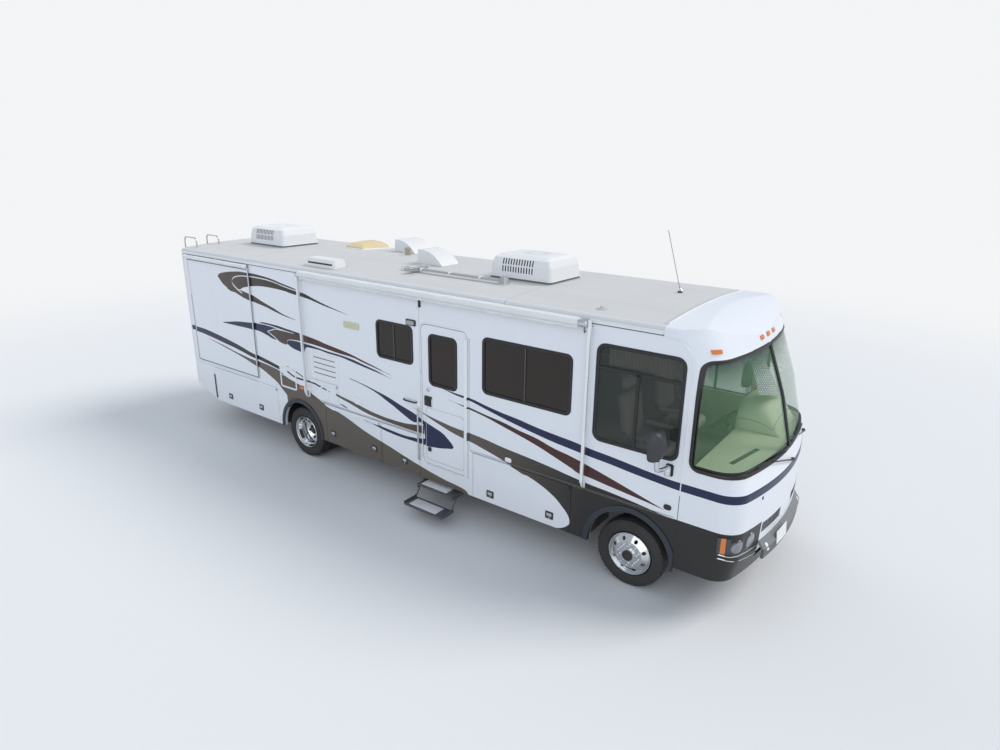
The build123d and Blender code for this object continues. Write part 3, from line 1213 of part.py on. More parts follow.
def seat(x, y):
    """A pedestal, a cushion, a leaning back with its headrest, and two armrests."""
    half = SEAT_HALF_W
    body = block(x - 170, x + 150, y - 160, y + 160, FLOOR_TOP_Z, FLOOR_TOP_Z + SEAT_TOP - 100)
    body += side_prism(x - 230, x + 250, FLOOR_TOP_Z + SEAT_TOP - 155, FLOOR_TOP_Z + SEAT_TOP, SEAT_PAD_R,
                       y - half, y + half)
    back = side_prism(-70, 70, 0, 690, SEAT_PAD_R, -half, half)
    back += side_prism(-58, 58, 600, 860, 50, -half + 90, half - 90)
    body += Pos(x - 265, y, FLOOR_TOP_Z + SEAT_TOP - 75) * Rot(0, -BACK_LEAN, 0) * back
    for side in (-1, 1):
        y0, y1 = sorted((y + side * (half - 5), y + side * (half + 55)))
        body += side_prism(x - 270, x + 120, FLOOR_TOP_Z + ARM_TOP - 70, FLOOR_TOP_Z + ARM_TOP, 30, y0, y1)
    return body


save("seats", seat(SEAT_X[0], SEAT_Y[0]), seat(SEAT_X[1], SEAT_Y[1]))
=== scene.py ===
import math

import bmesh
import bpy
import numpy as np
from mathutils import Matrix, Vector


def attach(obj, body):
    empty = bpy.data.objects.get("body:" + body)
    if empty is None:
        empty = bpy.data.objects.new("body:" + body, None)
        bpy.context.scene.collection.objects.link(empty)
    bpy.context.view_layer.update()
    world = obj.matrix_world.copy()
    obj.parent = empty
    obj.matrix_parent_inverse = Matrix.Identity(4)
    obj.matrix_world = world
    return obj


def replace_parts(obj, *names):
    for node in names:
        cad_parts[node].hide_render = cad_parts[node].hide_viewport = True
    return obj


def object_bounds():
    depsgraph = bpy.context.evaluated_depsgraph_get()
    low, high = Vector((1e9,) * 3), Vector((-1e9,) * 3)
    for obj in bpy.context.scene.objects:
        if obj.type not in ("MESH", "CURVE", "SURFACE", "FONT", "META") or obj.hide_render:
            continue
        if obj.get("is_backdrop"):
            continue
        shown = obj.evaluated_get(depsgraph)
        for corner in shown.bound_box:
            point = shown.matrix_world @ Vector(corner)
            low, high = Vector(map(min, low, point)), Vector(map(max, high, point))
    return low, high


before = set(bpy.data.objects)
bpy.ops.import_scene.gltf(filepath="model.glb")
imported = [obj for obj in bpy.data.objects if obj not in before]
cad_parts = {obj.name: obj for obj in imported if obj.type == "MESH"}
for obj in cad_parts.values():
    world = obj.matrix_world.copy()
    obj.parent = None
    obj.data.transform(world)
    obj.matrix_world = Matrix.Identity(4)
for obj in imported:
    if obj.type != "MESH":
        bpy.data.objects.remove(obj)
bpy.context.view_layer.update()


# The stand: a pale floor that fades into the backdrop, soft studio light from above and the front left,
# and the camera at the photograph's place.

class Socket:
    """A shader socket. Arithmetic on it adds Math nodes to its material."""

    def __init__(self, tree, out):
        self.tree = tree
        self.out = out

    def math(self, operation, *values):
        made = self.tree.nodes.new("ShaderNodeMath")
        made.operation = operation
        for i, value in enumerate(values):
            if isinstance(value, Socket):
                self.tree.links.new(value.out, made.inputs[i])
            else:
                made.inputs[i].default_value = value
        return Socket(self.tree, made.outputs[0])

    def __add__(self, other):
        return self.math("ADD", self, other)

    def __radd__(self, other):
        return self.math("ADD", other, self)

    def __sub__(self, other):
        return self.math("SUBTRACT", self, other)

    def __rsub__(self, other):
        return self.math("SUBTRACT", other, self)

    def __mul__(self, other):
        return self.math("MULTIPLY", self, other)

    def __truediv__(self, other):
        return self.math("DIVIDE", self, other)

    def __gt__(self, other):
        return self.math("GREATER_THAN", self, other)

    def __lt__(self, other):
        return self.math("LESS_THAN", self, other)

    def __or__(self, other):
        return self.math("MAXIMUM", self, other)

    def __mod__(self, other):
        return self.math("FLOORED_MODULO", self, other)

    def __abs__(self):
        return self.math("ABSOLUTE", self)


class Finish:
    """A material being mixed. node() adds one node; principled() closes it."""

    def __init__(self, name):
        self.material = bpy.data.materials.new(name)
        self.material.use_nodes = True
        self.tree = self.material.node_tree
        self.tree.nodes.clear()

    def node(self, kind, settings, sockets, output=0):
        """One node of a type: its settings first, then the values or links of its sockets."""
        made = self.tree.nodes.new("ShaderNode" + kind)
        for key, value in settings.items():
            if key == "curve":
                line = made.mapping.curves[0]
                while len(line.points) < len(value):
                    line.points.new(0.5, 0.5)
                for point, (u, v) in zip(line.points, value):
                    point.location = (u, v)
                    point.handle_type = "AUTO_CLAMPED"
                made.mapping.update()
            else:
                setattr(made, key, value)
        for key, value in sockets.items():
            if isinstance(value, Socket):
                self.tree.links.new(value.out, made.inputs[key])
            elif isinstance(value, tuple) and len(value) == 3 and made.inputs[key].type == "RGBA":
                made.inputs[key].default_value = (*value, 1)
            else:
                made.inputs[key].default_value = value
        return Socket(self.tree, made.outputs[output])

    def place(self):
        """x, y and z in metres, in the coach's own frame."""
        made = self.node("TexCoord", {}, {}, "Object")
        parts = self.tree.nodes.new("ShaderNodeSeparateXYZ")
        self.tree.links.new(made.out, parts.inputs[0])
        return [Socket(self.tree, parts.outputs[i]) for i in range(3)]

    def noise(self, scale, detail=3.0, rough=0.5, stretch=(1, 1, 1)):
        """Cloudy noise from 0 to 1 in the coach's frame, drawn out along an axis by stretch."""
        at = self.node("TexCoord", {}, {}, "Object")
        at = self.node("Mapping", {}, {"Vector": at, "Scale": stretch})
        sockets = {"Vector": at, "Scale": scale, "Detail": detail, "Roughness": rough}
        return self.node("TexNoise", {}, sockets, "Fac")

    def mix(self, share, a, b):
        """Colour a where share is 0 and colour b where it is 1."""
        return self.node("Mix", {"data_type": "RGBA"}, {0: share, 6: a, 7: b}, 2)

    def bump(self, height, depth, strength=0.5):
        return self.node("Bump", {}, {"Height": height, "Distance": depth, "Strength": strength}, "Normal")

    def principled(self, sockets):
        shader = self.node("BsdfPrincipled", {}, sockets)
        end = self.tree.nodes.new("ShaderNodeOutputMaterial")
        self.tree.links.new(shader.out, end.inputs["Surface"])
        return self.material


FLOOR_R = 60.0
PALE = (0.90, 0.91, 0.92)
turn = np.linspace(0, 2 * math.pi, 97)[:-1]
rim = FLOOR_R * np.stack([np.cos(turn), np.sin(turn), np.zeros_like(turn)], -1)
floor_mesh = bpy.data.meshes.new("ground")
floor_mesh.from_pydata(rim.tolist(), [], [list(range(len(rim)))])
ground = bpy.data.objects.new("ground", floor_mesh)
bpy.context.collection.objects.link(ground)
floor = Finish("ground")
x, y, z = floor.place()
far = x * x + y * y
reach = far.math("SQRT", far)
away = floor.node("MapRange", {"interpolation_type": "SMOOTHSTEP"},
                  {"Value": reach, "From Min": 8.0, "From Max": 22.0})
lit = floor.node("BsdfDiffuse", {}, {"Color": (0.70, 0.71, 0.72)})
glow = floor.node("Emission", {}, {"Color": PALE, "Strength": 1.0})
both = floor.node("MixShader", {}, {0: away, 1: lit, 2: glow})
end = floor.tree.nodes.new("ShaderNodeOutputMaterial")
floor.tree.links.new(both.out, end.inputs["Surface"])
floor_mesh.materials.append(floor.material)
ground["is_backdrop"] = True

world = bpy.data.worlds.new("studio")
bpy.context.scene.world = world
world.use_nodes = True
sky = world.node_tree
sky.nodes.clear()
rays = sky.nodes.new("ShaderNodeLightPath")
seen = Socket(sky, rays.outputs["Is Camera Ray"]) | Socket(sky, rays.outputs["Is Transmission Ray"])
plain = sky.nodes.new("ShaderNodeBackground")
plain.inputs["Color"].default_value = (*PALE, 1)
soft = sky.nodes.new("ShaderNodeBackground")
soft.inputs["Color"].default_value = (0.80, 0.88, 1.0, 1)
soft.inputs["Strength"].default_value = 0.62
choose = sky.nodes.new("ShaderNodeMixShader")
sky.links.new(seen.out, choose.inputs[0])
sky.links.new(soft.outputs[0], choose.inputs[1])
sky.links.new(plain.outputs[0], choose.inputs[2])
sky_end = sky.nodes.new("ShaderNodeOutputWorld")
sky.links.new(choose.outputs[0], sky_end.inputs["Surface"])

# name, where the light comes from, strength, spread in degrees, colour
LAMPS = [
    ("key", (8.0, 7.0, 11.0), 2.0, 28.0, (1.0, 0.97, 0.93)),
    ("fill", (5.0, -14.0, 7.0), 0.85, 60.0, (0.92, 0.96, 1.0)),
    ("rear", (-12.0, 4.0, 9.0), 0.35, 40.0, (1.0, 1.0, 1.0)),
]
for name, place, strength, spread, colour in LAMPS:
    lamp = bpy.data.lights.new(name, "SUN")
    lamp.energy = strength
    lamp.angle = math.radians(spread)
    lamp.color = colour
    holder = bpy.data.objects.new(name, lamp)
    bpy.context.collection.objects.link(holder)
    way = Vector(place).to_track_quat("Z", "Y").to_matrix().to_4x4()
    holder.matrix_world = Matrix.Translation(place) @ way

CAMERA_AT = (6.514, -7.461, 4.725)
LENS_MM, SENSOR_MM = 24.01, 36.0
YAW, PITCH, ROLL = (math.radians(a) for a in (36.372, 18.021, 0.757))
ahead = np.array([-math.sin(YAW) * math.cos(PITCH), math.cos(YAW) * math.cos(PITCH), -math.sin(PITCH)])
level = np.array([math.cos(YAW), math.sin(YAW), 0.0])
upright = np.cross(level, ahead)
right = math.cos(ROLL) * level + math.sin(ROLL) * upright
above = -math.sin(ROLL) * level + math.cos(ROLL) * upright
lens = bpy.data.cameras.new("camera")
lens.sensor_width = SENSOR_MM
lens.lens = LENS_MM
lens.clip_end = 300.0
camera = bpy.data.objects.new("camera", lens)
bpy.context.collection.objects.link(camera)
facing = Matrix(np.stack([right, above, -ahead], -1).tolist()).to_4x4()
camera.matrix_world = Matrix.Translation(CAMERA_AT) @ facing
bpy.context.scene.camera = camera
bpy.context.scene.view_settings.view_transform = "Standard"


def dress(material, *nodes):
    """Gives CAD nodes a material."""
    for node in nodes:
        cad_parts[node].data.materials.clear()
        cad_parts[node].data.materials.append(material)


# Chassis: a welded steel ladder frame with its cross members, leaf springs, fuel tank and tow receiver,
# sprayed satin black at the factory, with road dust low down.

def coating(name, colour, rough, metal, dust=0.0, grain=0.0004):
    """Sprayed or moulded surface: cloudy roughness, fine grain, and dust below the belt."""
    f = Finish(name)
    x, y, z = f.place()
    cloud = f.noise(2.2)
    fine = f.noise(160.0, 2.0)
    low = f.node("MapRange", {}, {"Value": z, "From Min": 0.9, "From Max": 0.2})
    dusty = f.mix(low * cloud * dust, colour, (0.24, 0.21, 0.17))
    return f.principled({
        "Base Color": dusty, "Metallic": metal, "Roughness": cloud * 0.16 + (rough - 0.08),
        "Normal": f.bump(fine, grain),
    })


frame_black = coating("frame_black", (0.022, 0.022, 0.023), 0.5, 0.0, 0.8)
cast_grey = coating("cast_grey", (0.07, 0.068, 0.065), 0.62, 0.4, 0.7, 0.0012)
dress(frame_black, "chassis_frame", "fuel_tank", "leaf_springs", "hitch_receiver", "rear_bumper", "wheel_housings")
dress(cast_grey, "engine_block", "front_axle", "rear_axle", "knuckle_right", "knuckle_left")


# Tyres: 245/70 R19.5 truck tyres, black rubber with ribbed tread blocks and plain ringed sidewalls,
# two pairs of twins on the rear axle.

def skin(name, grids, finish, ends=True, closed=True):
    """A mesh over grids of points: grid[i][j] is point j of ring i, and four neighbours make a face.

    A ring is closed on itself, a grid's two ends are filled unless its last ring is its first, and the
    faces are turned to point outwards.
    """
    points, faces, base = [], [], 0
    for grid in grids:
        grid = np.asarray(grid, float)
        count, size = grid.shape[:2]
        i, j = np.meshgrid(np.arange(count - 1), np.arange(size if closed else size - 1), indexing="ij")
        nxt = (j + 1) % size
        four = np.stack([i * size + j, i * size + nxt, (i + 1) * size + nxt, (i + 1) * size + j], -1)
        faces += (four.reshape(-1, 4) + base).tolist()
        if ends and closed and not np.allclose(grid[0], grid[-1]):
            faces.append([base + k for k in range(size)][::-1])
            faces.append([base + (count - 1) * size + k for k in range(size)])
        points.append(grid.reshape(-1, 3))
        base += count * size
    mesh = bpy.data.meshes.new(name)
    mesh.from_pydata(np.concatenate(points).tolist(), [], faces)
    mesh.validate()
    work = bmesh.new()
    work.from_mesh(mesh)
    bmesh.ops.remove_doubles(work, verts=work.verts, dist=1e-6)
    bmesh.ops.recalc_face_normals(work, faces=work.faces)
    work.to_mesh(mesh)
    work.free()
    mesh.polygons.foreach_set("use_smooth", [True] * len(mesh.polygons))
    mesh.set_sharp_from_angle(angle=math.radians(38))
    mesh.materials.append(finish)
    made = bpy.data.objects.new(name, mesh)
    bpy.context.collection.objects.link(made)
    return made


def shell(name, grids, body, finish, ends=True, closed=True):
    """A skin that rides on a body."""
    made = skin(name, grids, finish, ends, closed)
    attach(made, body)
    return made


f = Finish("rubber")
cloud = f.noise(6.0)
dust = f.noise(1.6, 4.0)
rubber = f.principled({
    "Base Color": f.mix(dust * 0.55, (0.012, 0.012, 0.013), (0.075, 0.068, 0.06)),
    "Roughness": cloud * 0.2 + 0.66, "Normal": f.bump(f.noise(240.0, 2.0), 0.0006),
})

TYRE_R = 0.419
TYRE_W = 0.240
FRONT_AXLE_X, REAR_AXLE_X = 3.780, -2.011
GROOVES_Y = np.array([-0.066, -0.022, 0.022, 0.066])
GROOVE_HALF, GROOVE_DEEP = 0.0045, 0.011
SHOULDER_SLOTS, SLOT_SHARE, SLOT_DEEP = 54, 0.17, 0.006


def tyre_rows(cx, cy, around):
    """Rings across the tread: radius and side from a section, sunk where a groove or a slot runs.

    The sidewall is an ellipse from bead to shoulder with one raised ring; the crown drops 8 mm over 0.1 m.
    """
    a = np.linspace(-0.95, 1.12, 15)
    wall_r = 0.338 + 0.079 * np.sin(a)
    wall_y = TYRE_W / 2 - 0.030 + 0.030 * np.cos(a) + np.where(np.abs(a) < 0.1, 0.0015, 0.0)
    edges = np.array([-GROOVE_HALF - 0.0005, -GROOVE_HALF + 0.0012, GROOVE_HALF - 0.0012, GROOVE_HALF + 0.0005])
    ribs = [-0.094, -0.08, -0.045, 0.0, 0.045, 0.08, 0.094]
    crown_y = np.sort(np.concatenate([(GROOVES_Y[:, None] + edges).ravel(), ribs]))
    crown_r = TYRE_R - 0.008 * (crown_y / 0.1) ** 2
    off_groove = np.abs(crown_y[:, None] - GROOVES_Y).min(1)
    sunk = np.where(off_groove < GROOVE_HALF - 0.0005, GROOVE_DEEP, 0.0)
    section_y = np.concatenate([-wall_y, crown_y, wall_y[::-1]])
    section_r = np.concatenate([wall_r, crown_r, wall_r[::-1]])
    deep = np.concatenate([np.zeros(15), sunk, np.zeros(15)])
    outer = np.linspace(0, 1, 15) > 0.8
    shoulder = np.concatenate([outer, np.abs(crown_y) > 0.07, outer[::-1]])
    angle = np.linspace(0, 2 * math.pi, around, endpoint=False)
    phase = (angle * SHOULDER_SLOTS / (2 * math.pi)) % 1.0
    cut = np.where(phase < SLOT_SHARE, SLOT_DEEP, 0.0)
    radius = section_r[:, None] - deep[:, None] - shoulder[:, None] * cut[None, :]
    return np.stack([
        cx + radius * np.cos(angle), np.broadcast_to((cy + section_y)[:, None], radius.shape),
        TYRE_R + radius * np.sin(angle),
    ], -1)


# node replaced, body, axle x, middle planes y
TYRES = [
    ("tyre_front_right", "wheel_front_right", FRONT_AXLE_X, (-1.090,)),
    ("tyre_front_left", "wheel_front_left", FRONT_AXLE_X, (1.090,)),
    ("tyres_rear_right", "wheels_rear_right", REAR_AXLE_X, (-1.100, -0.825)),
    ("tyres_rear_left", "wheels_rear_left", REAR_AXLE_X, (1.100, 0.825)),
]
for node, body, at_x, planes in TYRES:
    treads = [tyre_rows(at_x, at_y, 324) for at_y in planes]
    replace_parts(shell(f"{node}_tread", treads, body, rubber, ends=False), node)


# Wheels: forged discs polished to a mirror, whose hand holes are in the CAD rims. Each gets its trim ring,
# ten nuts, and the hub's oil cap in front or the bolted drive flange behind.

f = Finish("polished_alloy")
smear = f.noise(3.0)
chrome = f.principled({
    "Base Color": f.mix(smear * 0.35, (0.72, 0.73, 0.75), (0.42, 0.42, 0.43)), "Metallic": 1.0,
    "Roughness": smear * 0.12 + 0.08, "Normal": f.bump(f.noise(30.0), 0.0003),
})
dress(chrome, "rim_front_right", "rim_front_left", "rims_rear_right", "rims_rear_left")
hub_dark = coating("hub_dark", (0.030, 0.029, 0.028), 0.55, 0.5, 0.5)


def turned(profile, centre, axis, around=40):
    """Rings of a turned shape: (radius, distance along the axis) pairs, the axis starting at centre."""
    profile = np.asarray(profile, float)
    axis = np.asarray(axis, float) / np.linalg.norm(axis)
    side = np.cross(axis, (0.31, 0.17, 0.93))
    side /= np.linalg.norm(side)
    a = np.linspace(0, 2 * math.pi, around, endpoint=False)[:, None]
    ring = np.cos(a) * side + np.sin(a) * np.cross(axis, side)
    return np.asarray(centre) + profile[:, :1, None] * ring + profile[:, 1:, None] * axis


NUT = [(0.0150, -0.001), (0.0150, 0.012), (0.0115, 0.018), (0.0110, 0.030), (0.0060, 0.035), (0.0008, 0.036)]
NUTS, NUT_AT, BOLT_AT = 10, 0.122, 0.062
TRIM_RING = [(0.2615, 0.100), (0.2640, 0.108), (0.2600, 0.114), (0.2530, 0.113), (0.2470, 0.106), (0.2440, 0.095),
             (0.2500, 0.094), (0.2615, 0.100)]
OIL_CAP = [(0.0640, -0.002), (0.0640, 0.008), (0.0600, 0.012), (0.0480, 0.013), (0.0440, 0.005), (0.0010, 0.004)]
DRIVE_FLANGE = [(0.0790, -0.002), (0.0790, 0.010), (0.0740, 0.014), (0.0480, 0.016), (0.0450, 0.028),
                (0.0380, 0.033), (0.0010, 0.034)]
FLANGE_BOLT = [(0.0080, 0.0), (0.0080, 0.016), (0.0060, 0.019), (0.0008, 0.019)]
# body, axle x, side, middle plane, nut face, hub face, hub cover, bolts in the cover
WHEEL_FACES = [
    ("wheel_front_right", FRONT_AXLE_X, -1, 1.090, 1.2275, 1.2495, OIL_CAP, 0),
    ("wheel_front_left", FRONT_AXLE_X, 1, 1.090, 1.2275, 1.2495, OIL_CAP, 0),
    ("wheels_rear_right", REAR_AXLE_X, -1, 1.100, 0.9625, 1.0575, DRIVE_FLANGE, 8),
    ("wheels_rear_left", REAR_AXLE_X, 1, 1.100, 0.9625, 1.0575, DRIVE_FLANGE, 8),
]
for body, at_x, side, middle, nut_y, hub_y, cover, bolts in WHEEL_FACES:
    out = (0.0, side, 0.0)
    parts = [turned(TRIM_RING, (at_x, side * middle, TYRE_R), out, 72)]
    for k in range(NUTS):
        a = 2 * math.pi * (k + 0.5) / NUTS
        at = (at_x + NUT_AT * math.cos(a), side * nut_y, TYRE_R + NUT_AT * math.sin(a))
        parts.append(turned(NUT, at, out, 12))
    shell(f"{body}_trim", parts, body, chrome)
    parts = [turned(cover, (at_x, side * hub_y, TYRE_R), out)]
    for k in range(bolts):
        a = 2 * math.pi * k / bolts
        at = (at_x + BOLT_AT * math.cos(a), side * (hub_y + 0.012), TYRE_R + BOLT_AT * math.sin(a))
        parts.append(turned(FLANGE_BOLT, at, out, 6))
    shell(f"{body}_hub_cover", parts, body, hub_dark)


# Body paint: white gelcoat on laminated side panels, with printed vinyl swooshes and bands laid over
# walls, doors, slide-out and front moulding alike. Each band lies between two drawn edges.

# WHITE is the gelcoat's white with a slight blue tint that is painted sky shade.
WHITE = (0.74, 0.77, 0.82)
TAUPE = (0.105, 0.090, 0.072)
CHARCOAL = (0.020, 0.020, 0.020)
NAVY = (0.012, 0.018, 0.062)
MAROON = (0.062, 0.022, 0.020)
BROWN = (0.070, 0.052, 0.043)
INNER = (0.52, 0.48, 0.40)
LIP = (0.030, 0.036, 0.046)

